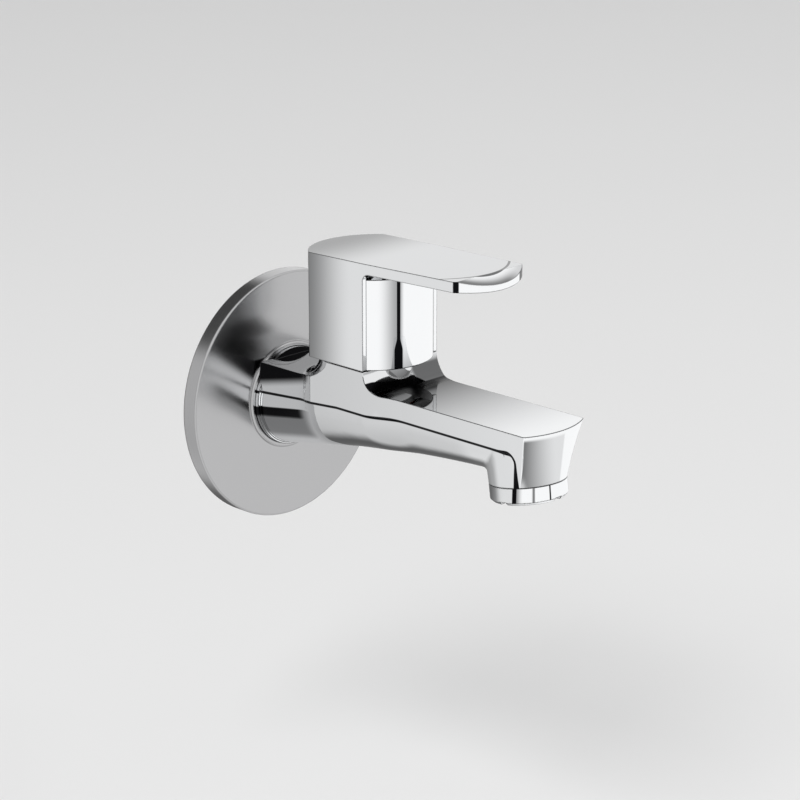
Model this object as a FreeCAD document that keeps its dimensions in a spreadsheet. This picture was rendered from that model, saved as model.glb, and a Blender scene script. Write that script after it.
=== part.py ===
import FreeCAD, Part
import math
import os
import re
import Sketcher
from FreeCAD import Placement, Rotation, Vector

# A wall-mounted bib tap with a flat quarter-turn lever, in millimetres.
# The origin is where the inlet axis meets the wall. The wall is the plane Y = 0, the spout
# points along -Y, +Z is up, and the closed lever lies over the spout.

os.makedirs("parts", exist_ok=True)
doc = FreeCAD.newDocument("bib_tap")
sheet = doc.addObject("Spreadsheet::Sheet", "Sizes")

SIZES = {
    # where the main axes and levels lie
    "spindle_reach": 40.4,
    "column_top": 19.4,
    "spout_top": 13.1,
    "neck_top": 12.75,
    "crease_level": 6.7,
    "outlet_setback": 12.4,
    "outlet_drop": 3.75,
    "outlet_lean_angle": 8.0,
    # clearances: between mating pieces, and between pieces that turn past each other
    "fit_gap": 0.05,
    "turn_gap": 0.3,
    # tap body, outside
    "column_radius": 18.5,
    "column_half": 15.0,
    "boss_radius": 12.4,
    "shoulder_back": 15.5,
    "column_fillet": 6.0,
    "spout_half": 12.3,
    "spout_narrowing": 12.0,
    "spout_reach": 112.9,
    "front_bow": 3.2,
    "crease_ledge": 0.2,
    "strip_depth": 4.6,
    "strip_bend": 2.6,
    "strip_foot_angle": 5.0,
    "neck_start": 6.2,
    "neck_half": 12.8,
    "neck_belly": 13.6,
    "neck_crease": 3.9,
    "neck_blend": 6.0,
    "neck_radius": 14.8,
    "corner_round": 1.2,
    "outlet_round": 2.5,
    "neck_low": 14.5,
    "column_low": 8.0,
    "spout_low": 2.6,
    # inlet, a half inch pipe thread
    "pipe_thread_radius": 10.4775,
    "inlet_tail": 16.0,
    "inlet_bore": 6.5,
    "collar_back": 1.5,
    # waterways
    "feed_width": 11.0,
    "feed_height": 5.4,
    "feed_drop": 2.2,
    "feed_run_on": 1.0,
    "seat_level": 1.8,
    "seat_port": 5.0,
    "chamber_radius": 10.0,
    "chamber_top": 11.4,
    "spout_bore": 4.6,
    "spout_bore_level": 4.6,
    "outlet_radius": 10.84,
    "outlet_swell": 0.5,
    "outlet_throat": 6.2,
    "outlet_throat_height": 3.0,
    # wall flange
    "flange_radius": 37.5,
    "flange_depth": 5.0,
    "flange_sheet": 1.0,
    "flange_bevel": 0.4,
    "flange_lip": 1.2,
    "flange_lip_reach": 5.9,
    "grip_ring_section": 1.3,
    # headwork cartridge
    "cartridge_skirt": 9.2,
    "cartridge_bore": 7.85,
    "cartridge_lift": 0.4,
    "fibre_sheet": 0.8,
    "shoulder_radius": 11.9,
    "shoulder_height": 1.6,
    "hex_flats": 17.0,
    "hex_height": 5.6,
    "window_width": 9.0,
    "seal_height": 2.0,
    "seal_hole": 5.2,
    "disc_height": 2.8,
    "disc_gap": 0.2,
    "port_outer": 6.4,
    "port_inner": 2.0,
    "port_side": 7.0,
    "driver_height": 2.3,
    "tongue_width": 3.0,
    "tongue_length": 9.0,
    "tongue_depth": 1.2,
    "washer_height": 0.8,
    "stem_radius": 4.4,
    "stem_ring_section": 0.8,
    "stem_ring_level": 3.4,
    "stem_ring_spacing": 3.4,
    "clip_height": 0.8,
    "clip_radius": 6.2,
    "clip_groove": 0.7,
    "clip_mouth": 3.0,
    "spline_radius": 4.0,
    "spline_depth": 0.45,
    "spline_count": 20,
    "spline_length": 10.4,
    # lever
    "lever_wall": 1.25,
    "lever_top": 50.35,
    "lever_rise": 1.6,
    "plate_under": 48.0,
    "under_rise": 0.9,
    "lever_reach": 84.9,
    "lever_tip_half": 13.9,
    "lever_bow": 5.4,
    "facet_start": 0.6,
    "facet_drop": 1.9,
    "tip_arch": 0.9,
    "skirt_corner": 2.2,
    "insert_top": 46.0,
    "insert_shelf": 12.0,
    "hub_height": 10.0,
    "hub_room": 0.8,
    "adapter_side": 11.0,
    "adapter_height": 10.6,
    "adapter_lift": 0.3,
    "screw_rise": 5.2,
    "screw_radius": 2.5,
    "screw_setback": 1.1,
    "screw_key": 2.5,
    "screw_key_depth": 3.0,
    "cap_radius": 3.4,
    "cap_height": 1.9,
    "cap_recess": 0.35,
    # aerator
    "rim_height": 4.95,
    "rim_chamfer": 0.7,
    "outlet_thread": 9.25,
    "thread_height": 6.0,
    "sleeve_bore": 8.05,
    "rim_mouth": 7.2,
    "rim_ledge": 0.9,
    "key_width": 2.4,
    "key_depth": 0.8,
    "grid_height": 1.6,
    "grid_hole": 0.75,
    "grid_spacing": 1.95,
    "core_height": 3.6,
    "core_floor": 1.0,
    "core_wall": 1.2,
    "jet_count": 12,
    "jet_radius": 0.5,
    "screen_sheet": 0.4,
    "screen_rise": 1.0,
    "washer_sheet": 1.5,
    "washer_hole": 6.3,
}

# how far a tool runs past what it cuts, and a piece into what it is joined to
SPARE = 1.0
# how quickly the belly rises from the column towards the outlet
BELLY_SWEEP = 1.6
# how finely the smooth castings are laid out
BELLY_STATIONS = 40
BELLY_RAYS = 18
NECK_STEPS = 12


def fill_sheet():
    """Writes every driving dimension to the sheet under its own alias."""
    for row, (alias, length) in enumerate(SIZES.items(), start=1):
        sheet.set("A%d" % row, alias)
        sheet.set("B%d" % row, str(length))
        sheet.setAlias("B%d" % row, alias)
    doc.recompute()


def size(alias):
    """A driving dimension as a plain number."""
    return float(getattr(sheet, alias))


def tied(text):
    """An expression on the sheet's aliases, as another object has to write it."""
    def linked(word):
        """One word of the expression, with the sheet's name before an alias."""
        return "Sizes." + word.group() if word.group() in SIZES else word.group()

    return re.sub(r"[a-z_]+", linked, text)


def number(text):
    """What such an expression comes to now."""
    return float(sheet.evalExpression(tied(text)))


def bind(item, property_name, text):
    """Ties one property of an object to an expression on the sheet."""
    item.setExpression(property_name, tied(text))


def place(item, height, reach="0", lean="0"):
    """Puts a piece on the tap's middle plane, leaning about X where the piece leans."""
    turn = Rotation(Vector(1, 0, 0), -number(lean))
    item.Placement = Placement(Vector(0, -number(reach), number(height)), turn)
    bind(item, "Placement.Base.y", "-(%s)" % reach)
    bind(item, "Placement.Base.z", height)


def origin_plane(body, role):
    """One of a body's own origin planes, by its role."""
    return next(plane for plane in body.Origin.OriginFeatures if plane.Role == role)


def outline(body, name, role, corners):
    """A closed outline with straight sides, each corner tied to two expressions."""
    sketch = body.newObject("Sketcher::SketchObject", name)
    sketch.AttachmentSupport = [(origin_plane(body, role), "")]
    sketch.MapMode = "FlatFace"
    points = [Vector(number(across), number(up), 0) for across, up in corners]
    for side, start in enumerate(points):
        sketch.addGeometry(Part.LineSegment(start, points[(side + 1) % len(points)]))
    for side in range(len(points)):
        sketch.addConstraint(Sketcher.Constraint("Coincident", side, 2, (side + 1) % len(points), 1))
    for side, corner in enumerate(corners):
        for kind, text in zip(("DistanceX", "DistanceY"), corner):
            index = sketch.addConstraint(Sketcher.Constraint(kind, -1, 1, side, 1, number(text)))
            bind(sketch, "Constraints[%d]" % index, text)
    return sketch


def turned(label, corners):
    """A turned piece: an outline of (radius, height) corners spun once about its own Z axis."""
    body = doc.addObject("PartDesign::Body", label)
    sketch = outline(body, label + "_outline", "XZ_Plane", corners)
    spin = body.newObject("PartDesign::Revolution", label + "_spin")
    spin.Profile = sketch
    spin.ReferenceAxis = (sketch, ["V_Axis"])
    spin.Angle = 360
    doc.recompute()
    return body


def ring(label, inner, outer, low, high):
    """A flat ring between two radii and two heights."""
    return turned(label, [(inner, low), (outer, low), (outer, high), (inner, high)])


def torus(label, middle, section, height):
    """A round seal ring on the Z axis."""
    item = doc.addObject("Part::Torus", label)
    bind(item, "Radius1", middle)
    bind(item, "Radius2", section)
    bind(item, "Placement.Base.z", height)
    return item


def rod(label, radius, height, low="0"):
    """A round bar or a drill, standing on the Z axis."""
    item = doc.addObject("Part::Cylinder", label)
    bind(item, "Radius", radius)
    bind(item, "Height", height)
    bind(item, "Placement.Base.z", low)
    return item


def block(label, corner, lengths):
    """A box from its lowest corner and its three lengths."""
    item = doc.addObject("Part::Box", label)
    for axis, text in zip("xyz", corner):
        bind(item, "Placement.Base." + axis, text)
    for name, text in zip(("Length", "Width", "Height"), lengths):
        bind(item, name, text)
    return item


def cut(label, base, tools):
    """A piece with one tool or several taken away from it."""
    result = base
    for step, tool in enumerate(tools):
        last = step == len(tools) - 1
        item = doc.addObject("Part::Cut", label if last else "%s_cut_%d" % (label, step + 1))
        item.Base = result
        item.Tool = tool
        result = item
    return result


def joined(label, pieces):
    """Several solids as one, or as one group where they don't meet."""
    item = doc.addObject("Part::MultiFuse", label)
    item.Shapes = pieces
    return item


def bored(radius, start, direction, length):
    """A round drill from a start point, for a casting's waterways."""
    return Part.makeCylinder(radius, length, start, direction)


def arc_through(start, middle, end):
    """A circular edge through three points."""
    return Part.Arc(start, middle, end).toShape()


def on_middle_plane(reach, level):
    """A point of the tap's middle plane."""
    return Vector(0, -reach, level)


def casting(label, shape):
    """A free-form casting, whose shape is worked out from the sheet above."""
    item = doc.addObject("Part::Feature", label)
    item.Shape = shape
    item.Placement = Placement()
    return item


def eased(start, end, share):
    """A value that leaves its start and reaches its end with no kink."""
    share = min(max(share, 0.0), 1.0)
    return start + (end - start) * share * share * (3 - 2 * share)


def column_chord():
    """How far in front of and behind the spindle the column's flats end and its round parts start."""
    return math.sqrt(size("column_radius") ** 2 - size("column_half") ** 2)


def outlet_reach():
    """How far from the wall the outlet's centre is."""
    return size("spout_reach") - size("outlet_setback")


def strip_angle():
    """Where the strip at the spout's front meets the outlet's circle, from its widest side."""
    ahead = size("outlet_setback") - size("front_bow") - size("strip_depth")
    across = size("outlet_radius") * math.cos(math.radians(size("outlet_lean_angle")))
    return math.asin(ahead / across)


def waist():
    """How much narrower the spout is at its crease than at its top, in line with the front wedge."""
    foot = outlet_frame().multVec(Vector(size("outlet_radius") * math.cos(strip_angle()),
                                         -size("outlet_radius") * math.sin(strip_angle()), 0))
    share = (size("spout_top") - size("crease_level")) / (size("spout_top") - foot.z)
    return (size("spout_half") - foot.x) * share


def body_plan(level, slim):
    """The body's outline seen from above: round back, flat sides, narrower spout, bowed front."""
    half = size("column_half")
    reach = size("spindle_reach")
    chord = column_chord()
    narrow = reach + chord + size("spout_narrowing")
    bend = size("spout_narrowing") / 2
    front = size("spout_reach") - size("front_bow")

    def flank(sign):
        """One side of the plan, from the back flat to the front corner."""
        curve = Part.BezierCurve()
        curve.setPoles([
            Vector(sign * half, -(reach + chord), level),
            Vector(sign * half, -(reach + chord + bend / 2), level),
            Vector(sign * slim, -(narrow - bend), level),
            Vector(sign * slim, -narrow, level),
        ])
        flat = [Vector(sign * half, -(reach - chord), level), Vector(sign * half, -(reach + chord), level)]
        spout = [Vector(sign * slim, -narrow, level), Vector(sign * slim, -front, level)]
        return [Part.LineSegment(*flat).toShape(), curve.toShape(), Part.LineSegment(*spout).toShape()]

    nose = arc_through(Vector(slim, -front, level), on_middle_plane(size("spout_reach"), level),
                       Vector(-slim, -front, level))
    back = arc_through(Vector(-half, -(reach - chord), level),
                       on_middle_plane(reach - size("column_radius"), level),
                       Vector(half, -(reach - chord), level))
    return Part.Wire(Part.__sortEdges__(flank(1) + [nose] + flank(-1) + [back]))


def body_prism():
    """The body's outline stood up: drawn in towards the crease below the spout's top, upright above."""
    top = size("spout_top")
    lower = body_plan(size("crease_level"), size("spout_half") - waist())
    upper = body_plan(top, size("spout_half"))
    drafted = Part.makeLoft([lower, upper], True, True)
    upright = Part.Face(upper).extrude(Vector(0, 0, size("column_top") + SPARE - top))
    return drafted.fuse(upright)


def side_slab():
    """The body's upper half from the side: column, fillet and spout, down to the crease."""
    radius = size("column_fillet")
    reach = size("spindle_reach")
    front = reach + column_chord()
    wide = size("column_radius")
    back = reach - size("column_radius") - SPARE
    far = size("spout_reach") + SPARE
    top = size("column_top")
    level = size("spout_top")
    crease = size("crease_level")
    turn = radius * (1 - math.sqrt(0.5))
    points = [on_middle_plane(back, crease), on_middle_plane(back, top), on_middle_plane(front, top),
              on_middle_plane(front, level + radius)]
    edges = [Part.LineSegment(first, second).toShape() for first, second in zip(points, points[1:])]
    edges.append(arc_through(points[3], on_middle_plane(front + turn, level + turn),
                             on_middle_plane(front + radius, level)))
    rest = [on_middle_plane(front + radius, level), on_middle_plane(far, level),
            on_middle_plane(far, crease), points[0]]
    edges += [Part.LineSegment(first, second).toShape() for first, second in zip(rest, rest[1:])]
    face = Part.Face(Part.Wire(edges))
    face.translate(Vector(-wide, 0, 0))
    return face.extrude(Vector(2 * wide, 0, 0))


def outlet_frame():
    """Where the outlet's seam with the aerator lies, and how it leans."""
    return Placement(on_middle_plane(outlet_reach(), -size("outlet_drop")),
                     Rotation(Vector(1, 0, 0), -size("outlet_lean_angle")))


def front_wedge():
    """The spout's front: a bowed face that narrows from the spout's outline to the outlet's circle."""
    half = size("spout_half")
    front = size("spout_reach") - size("front_bow")
    rear = front - size("strip_depth")
    level = size("spout_top")
    radius = size("outlet_radius")
    seam = outlet_frame()
    rear_angle = strip_angle()
    corner_angle = rear_angle + math.radians(size("strip_foot_angle"))

    def seam_point(angle):
        """A point of the outlet's circle, from its widest side towards the front."""
        return seam.multVec(Vector(-radius * math.cos(angle), -radius * math.sin(angle), 0))

    def loop(rear_left, left, middle, right, rear_right):
        """One end of the wedge: two short sides, a bowed front and a straight back."""
        edges = [
            Part.LineSegment(rear_left, left).toShape(),
            arc_through(left, middle, right),
            Part.LineSegment(right, rear_right).toShape(),
            Part.LineSegment(rear_right, rear_left).toShape(),
        ]
        return Part.Wire(edges)

    upper = loop(
        Vector(-half, -rear, level), Vector(-half, -front, level),
        on_middle_plane(size("spout_reach"), level),
        Vector(half, -front, level), Vector(half, -rear, level),
    )
    lower = loop(
        seam_point(rear_angle), seam_point(corner_angle), seam_point(math.pi / 2),
        seam_point(math.pi - corner_angle), seam_point(math.pi - rear_angle),
    )
    return Part.makeLoft([upper, lower], True, True)


def underside(reach):
    """How low the body's belly hangs at a given reach from the wall."""
    start = size("neck_start")
    column = size("spindle_reach")
    outlet = outlet_reach()
    column_low = size("column_low")
    spout_low = size("spout_low")
    if reach < column:
        return -(size("neck_low") + (column_low - size("neck_low")) * (reach - start) / (column - start))
    share = min((reach - column) / (outlet - column), 1.0)
    return -(spout_low + (column_low - spout_low) * (1 - share) ** BELLY_SWEEP)


def neck_share(reach):
    """How far the neck has gone over into the column: 0 on the neck, 1 from the column's flats on."""
    flats = size("spindle_reach") - column_chord()
    return eased(0, 1, 1 - (flats - reach) / size("neck_blend"))


def crease(reach):
    """The level of the crease along the body's side, which rises from the flange to the column."""
    start = size("neck_start")
    share = min((reach - start) / (size("spindle_reach") - start), 1.0)
    return size("neck_crease") + (size("crease_level") - size("neck_crease")) * share


def side_half(reach, level):
    """The body's half width at a level above the crease, from the flange to the outlet."""
    share = neck_share(reach)
    low = size("neck_belly") + (size("column_half") - size("neck_belly")) * share
    high = size("neck_half") + (size("column_half") - size("neck_half")) * share
    rise = (level - crease(reach)) / (size("neck_top") - crease(reach))
    front = size("spindle_reach") + column_chord()
    slim = size("spout_half") - waist()
    return eased(low + (high - low) * rise, slim, (reach - front) / size("spout_narrowing"))


def belly_point(turn, level, station):
    """A point of the underside: round under the neck, and deeper and more pointed from the column on."""
    start = size("neck_start")
    flats = size("spindle_reach") - column_chord()
    centre = eased(0, level, (station - start) / (flats - start))
    depth = centre - underside(station)
    edge = crease(station)
    half = side_half(station, edge) - size("crease_ledge")
    widest = half / math.sqrt(1 - ((edge - centre) / depth) ** 2)
    rise = math.asin((level - centre) / depth)
    angle = (math.pi + 2 * rise) * turn / math.pi - rise
    return Vector(widest * math.cos(angle), -station, centre - depth * math.sin(angle))


def belly():
    """The rounded lower half, from the flange to the outlet, as one smooth surface under a flat lid."""
    ledge = size("crease_ledge")
    level = size("crease_level") + ledge
    start = size("neck_start")
    end = outlet_reach() + SPARE
    grid = []
    for row in range(BELLY_STATIONS + 1):
        station = start + (end - start) * row / BELLY_STATIONS
        turns = [math.pi * ray / BELLY_RAYS for ray in range(BELLY_RAYS + 1)]
        grid.append([belly_point(turn, level, station) for turn in turns])
    surface = Part.BSplineSurface()
    surface.interpolate(grid)
    skin = surface.toShape()
    ends = [edge for edge in skin.Edges if edge.BoundBox.YLength < ledge]
    rims = [edge for edge in skin.Edges if edge.BoundBox.YLength >= ledge]
    bridges = [Part.LineSegment(edge.Vertexes[0].Point, edge.Vertexes[-1].Point).toShape() for edge in ends]
    caps = [Part.Face(Part.Wire([edge, bridge])) for edge, bridge in zip(ends, bridges)]
    lid = Part.Face(Part.Wire(Part.__sortEdges__(rims + bridges)))
    shell = Part.Shell([skin, lid] + caps)
    shell.sewShape()
    return Part.Solid(shell)


def neck_sides():
    """The neck between its crease and the column's top level, as if its sides ran on up."""
    start = size("neck_start")
    top = size("column_top")
    flats = size("spindle_reach") - column_chord()
    sections = []
    for step in range(NECK_STEPS + 1):
        reach = start + (flats - start) * step / NECK_STEPS
        low = side_half(reach, crease(reach))
        high = side_half(reach, top)
        corners = [(-low, crease(reach)), (-high, top), (high, top), (low, crease(reach))]
        corners.append(corners[0])
        sections.append(Part.makePolygon([Vector(across, -reach, up) for across, up in corners]))
    return Part.makeLoft(sections, True, False)


def inlet():
    """The round end of the neck behind the flange, and the threaded inlet tail."""
    out = Vector(0, -1, 0)
    inward = size("collar_back")
    collar = bored(size("neck_radius"), on_middle_plane(inward, 0), out, size("neck_start") + SPARE - inward)
    tail = bored(size("pipe_thread_radius"), on_middle_plane(-size("inlet_tail"), 0), out,
                 size("inlet_tail") + inward + SPARE)
    return collar.fuse(tail)


def shoulder():
    """The column's back: a round shoulder round the boss that sweeps down to the neck's flat top."""
    level = size("neck_top")
    top = size("column_top")
    radius = size("shoulder_back")
    sweep = top - level
    turn = sweep * (1 - math.sqrt(0.5))

    def spot(out, up):
        """A point of the shoulder's half section."""
        return Vector(out, 0, up)

    foot = radius + sweep
    edges = [
        Part.LineSegment(spot(0, top), spot(0, level)).toShape(),
        Part.LineSegment(spot(0, level), spot(foot, level)).toShape(),
        arc_through(spot(foot, level), spot(radius + turn, level + turn), spot(radius, top)),
        Part.LineSegment(spot(radius, top), spot(0, top)).toShape(),
    ]
    flare = Part.Face(Part.Wire(edges)).revolve(Vector(), Vector(0, 0, 1), 360)
    flare.translate(on_middle_plane(size("spindle_reach"), 0))
    return flare


def rear():
    """The neck's upper half, flat on top, and the column behind the spindle with its round shoulder."""
    reach = size("spindle_reach")
    half = size("column_half")
    flats = reach - column_chord()
    top = size("column_top")
    side = Part.Face(Part.makePolygon([
        on_middle_plane(flats, crease(flats)), on_middle_plane(flats, top), on_middle_plane(reach, top),
        on_middle_plane(reach, crease(reach)), on_middle_plane(flats, crease(flats)),
    ]))
    side.translate(Vector(-half, 0, 0))
    column = side.extrude(Vector(2 * half, 0, 0))
    flat = Part.makeBox(2 * reach, reach, size("neck_top"), Vector(-reach, -reach, 0))
    return neck_sides().fuse(column).common(flat.fuse(shoulder()))


def waterways():
    """What is drilled and cored out of the body: inlet, seat, chamber, spout and outlet."""
    reach = size("spindle_reach")
    out = Vector(0, -1, 0)
    upward = Vector(0, 0, 1)
    seat = size("seat_level")
    feed_from = reach - size("column_radius")
    supply = bored(size("inlet_bore"), on_middle_plane(-size("inlet_tail") - SPARE, 0), out,
                   size("inlet_tail") + 2 * SPARE + feed_from)
    feed_end = reach + size("seat_port") + size("feed_run_on")
    feed_low = -size("feed_drop") - size("feed_height") / 2
    feed = Part.makeBox(size("feed_width"), feed_end - feed_from, size("feed_height"),
                        Vector(-size("feed_width") / 2, -feed_end, feed_low))
    port = bored(size("seat_port"), on_middle_plane(reach, -size("feed_drop")), upward,
                 seat + size("feed_drop") + SPARE)
    chamber_top = size("chamber_top")
    chamber = bored(size("chamber_radius"), on_middle_plane(reach, seat), upward, chamber_top - seat)
    thread = bored(size("pipe_thread_radius") + size("fit_gap"), on_middle_plane(reach, chamber_top), upward,
                   size("column_top") - chamber_top + SPARE)
    run_start = reach + size("cartridge_skirt")
    run = bored(size("spout_bore"), on_middle_plane(run_start, size("spout_bore_level")), out,
                outlet_reach() - run_start)
    depth = size("thread_height") + size("washer_sheet") + size("fit_gap")
    mouth = Part.makeCylinder(size("outlet_thread") + size("fit_gap"), depth)
    throat = Part.makeCylinder(size("outlet_throat"), depth + size("outlet_throat_height"))
    outlet = mouth.fuse(throat)
    outlet.Placement = outlet_frame()
    return [supply, feed, port, chamber, thread, run, outlet]


def strip_gusset():
    """The round inner corner where the crease turns down beside the strip at the spout's front."""
    front = size("spout_reach") - size("front_bow") - size("strip_depth")
    level = size("crease_level")
    radius = size("strip_bend")
    turn = radius * (1 - math.sqrt(0.5))
    corner = on_middle_plane(front, level)
    start = on_middle_plane(front - radius, level)
    end = on_middle_plane(front, level - radius)
    bend = arc_through(end, on_middle_plane(front - turn, level - turn), start)
    sides = [Part.LineSegment(start, corner).toShape(), Part.LineSegment(corner, end).toShape()]
    face = Part.Face(Part.Wire(sides + [bend]))
    face.translate(Vector(-size("column_half"), 0, 0))
    filler = face.extrude(Vector(2 * size("column_half"), 0, 0))
    top_half = size("spout_half")
    low_half = top_half - waist() * (size("spout_top") - level + radius) / (size("spout_top") - level)
    low = level - radius
    top = size("spout_top")
    corners = [(-top_half, top), (top_half, top), (low_half, low), (-low_half, low)]
    flanks = Part.makePolygon([Vector(across, -front + radius, up) for across, up in corners + corners[:1]])
    return filler.common(Part.Face(flanks).extrude(Vector(0, -radius, 0)))


def rounded(shape, radius, low, high, least):
    """Rounds the edges longer than a least length that lie whole in a box between two corners."""
    slack = 0.01
    box = FreeCAD.BoundBox(*[value - slack for value in low], *[value + slack for value in high])
    edges = [edge for edge in shape.Edges if edge.Length > least and box.isInside(edge.BoundBox)]
    return shape.makeFillet(radius, edges)


def softened(shape):
    """Rounds the spout's front corners, and the inner corner behind the outlet."""
    half = size("spout_half")
    top = size("spout_top")
    seam = -size("outlet_drop")
    foot = size("outlet_radius")
    corner = size("spout_reach") - size("front_bow")
    strip = corner - size("strip_depth")
    back = outlet_reach() - foot - size("outlet_swell")
    for side in ((0, half), (-half, 0)):
        shape = rounded(shape, size("corner_round"), (side[0], -corner, seam), (side[1], -strip, top), top)
    return rounded(shape, size("outlet_round"), (-half, -outlet_reach(), seam),
                   (half, -back, size("crease_level")), 3 * foot)


def tap_body():
    """The brass body casting with its column, boss, neck, spout and outlet."""
    reach = size("spindle_reach")
    slab = body_prism().common(side_slab())
    front = size("spout_reach") - size("front_bow") - size("strip_depth")
    span = size("spout_reach")
    ahead = Part.makeBox(span, span, span, Vector(-span / 2, -front - span, -span / 2))
    behind = Part.makeBox(span, span, span, Vector(-span / 2, -reach, -span / 2))
    upper = slab.cut([ahead, behind]).fuse([front_wedge(), strip_gusset(), rear()])
    boss = bored(size("boss_radius"), on_middle_plane(reach, size("crease_level")), Vector(0, 0, 1),
                 size("column_top") - size("crease_level"))
    spigot = Part.makeCone(size("outlet_radius"), size("outlet_radius") + size("outlet_swell"),
                           size("outlet_drop") + size("crease_level") + 2 * SPARE)
    spigot.Placement = outlet_frame()
    whole = upper.fuse([boss, belly(), inlet(), spigot])
    below = Part.makeBox(span, span, span, Vector(-span / 2, -span / 2, -span))
    below.Placement = outlet_frame()
    whole = whole.cut(waterways() + [below]).removeSplitter()
    return casting("tap_body", softened(whole))


def on_spindle(item, level):
    """Stands a piece on the spindle's axis, at a level given as an expression."""
    place(item, level, "spindle_reach")
    return item


def in_outlet(item):
    """Seats an aerator piece in the leaning outlet, its own zero at the seam."""
    place(item, "-outlet_drop", "spout_reach - outlet_setback", "outlet_lean_angle")
    return item


def wall_flange():
    """A pressed cover plate with a rolled rim and a collar lip round the neck."""
    hole = "neck_radius + 3 * fit_gap"
    lip = "neck_radius + 3 * fit_gap + flange_lip"
    back = "flange_depth - flange_sheet"
    flange = turned("wall_flange", [
        ("flange_radius - flange_sheet", "0"),
        ("flange_radius", "0"),
        ("flange_radius", "flange_depth - flange_bevel"),
        ("flange_radius - flange_bevel", "flange_depth"),
        (lip, "flange_depth"),
        (lip, "flange_lip_reach - flange_bevel"),
        (lip + " - flange_bevel", "flange_lip_reach"),
        (hole, "flange_lip_reach"),
        (hole, back),
        ("flange_radius - flange_sheet", back),
    ])
    flange.Placement = Placement(Vector(), Rotation(Vector(1, 0, 0), 90))
    return flange


def flange_grip_ring():
    """The rubber ring behind the flange that grips the neck's round end."""
    grip = torus("flange_grip_ring", "neck_radius + grip_ring_section + fit_gap", "grip_ring_section", "0")
    level = "flange_depth - flange_sheet - grip_ring_section - fit_gap"
    grip.Placement = Placement(Vector(0, -number(level), 0), Rotation(Vector(1, 0, 0), 90))
    bind(grip, "Placement.Base.y", "-(%s)" % level)
    return grip


# Levels inside the cartridge are heights above the seat in the body.
MOVING_LOW = "seal_height + disc_height + fit_gap"
DRIVER_LOW = "seal_height + 2 * disc_height + 2 * fit_gap"
DRIVER_HIGH = "seal_height + 2 * disc_height + driver_height + 2 * fit_gap"
ROOF = "seal_height + 2 * disc_height + driver_height + washer_height + 4 * fit_gap"
SHOULDER_LOW = "column_top - seat_level + fibre_sheet"
SHOULDER_HIGH = "column_top - seat_level + fibre_sheet + shoulder_height"
HEX_HIGH = "column_top - seat_level + fibre_sheet + shoulder_height + hex_height"
SPLINE_LOW = HEX_HIGH + " + clip_height + 4 * fit_gap"
SPINDLE_HIGH = SPLINE_LOW + " + spline_length"


def cartridge_housing():
    """The headwork's brass housing: open skirt, pipe thread, shoulder and hexagon."""
    barrel = turned("housing_barrel", [
        ("cartridge_bore", "cartridge_lift"),
        ("cartridge_skirt", "cartridge_lift"),
        ("cartridge_skirt", "chamber_top - seat_level"),
        ("pipe_thread_radius", "chamber_top - seat_level"),
        ("pipe_thread_radius", SHOULDER_LOW),
        ("shoulder_radius", SHOULDER_LOW),
        ("shoulder_radius", SHOULDER_HIGH),
        ("stem_radius + clip_mouth", SHOULDER_HIGH),
        ("stem_radius + clip_mouth", HEX_HIGH),
        ("stem_radius + fit_gap", HEX_HIGH),
        ("stem_radius + fit_gap", ROOF),
        ("cartridge_bore", ROOF),
    ])
    hexagon = doc.addObject("Part::Prism", "housing_hexagon")
    hexagon.Polygon = 6
    bind(hexagon, "Circumradius", "hex_flats / 2 / cos(30)")
    bind(hexagon, "Height", "hex_height")
    bind(hexagon, "Placement.Base.z", SHOULDER_HIGH)
    stem_hole = rod("housing_stem_hole", "stem_radius + fit_gap", "hex_height", SHOULDER_HIGH)
    nut = cut("housing_nut", hexagon, [stem_hole])
    window = block("housing_windows", ("-chamber_radius", "-window_width / 2", MOVING_LOW),
                   ("2 * chamber_radius", "window_width", "disc_height"))
    inner = rod("housing_window_core", "cartridge_bore - fit_gap", "disc_height", MOVING_LOW)
    whole = joined("housing_whole", [barrel, nut])
    return on_spindle(cut("cartridge_housing", whole, [cut("housing_ports", window, [inner])]), "seat_level")


def sector_pair(name, inner, outer, side, low, height):
    """Two opposite round-cornered openings beside the axis, as tools for the ceramic discs."""
    drum = rod(name + "_drum", outer, height, low)
    core = block(name + "_core", ("-(%s)" % inner, "-(%s)" % side, low),
                 ("2 * (%s)" % inner, "2 * (%s)" % side, height))
    lane = block(name + "_lane", ("-(%s)" % outer, "-(%s) / 2" % side, low),
                 ("2 * (%s)" % outer, side, height))
    band = doc.addObject("Part::Common", name + "_band")
    band.Base = drum
    band.Tool = lane
    return cut(name, band, [core])


def fixed_disc():
    """The lower ceramic disc, with two ports."""
    plate = rod("fixed_plate", "cartridge_bore - fit_gap", "disc_height")
    ports = sector_pair("fixed_ports", "port_inner", "port_outer", "port_side", "0", "disc_height")
    return on_spindle(cut("fixed_disc", plate, [ports]), "seat_level + seal_height")


def moving_disc():
    """The upper ceramic disc, cut away on two sides and slotted for the spindle's tongue."""
    radius = "cartridge_bore - disc_gap"
    plate = rod("moving_plate", radius, "disc_height")
    slot = block("moving_slot", ("-(tongue_length / 2 + fit_gap)", "-(tongue_width / 2 + fit_gap)",
                                 "disc_height - tongue_depth - fit_gap"),
                 ("tongue_length + 2 * fit_gap", "tongue_width + 2 * fit_gap", "tongue_depth + 2 * fit_gap"))
    tools = [slot]
    for side, corner in (("front", "-cartridge_bore"), ("back", "port_inner + 2")):
        tools.append(block("moving_bay_" + side, ("-port_side / 2", corner, "0"),
                           ("port_side", "cartridge_bore - port_inner - 2", "disc_height - tongue_depth")))
    return on_spindle(cut("moving_disc", plate, tools), "seat_level + " + MOVING_LOW)


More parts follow.
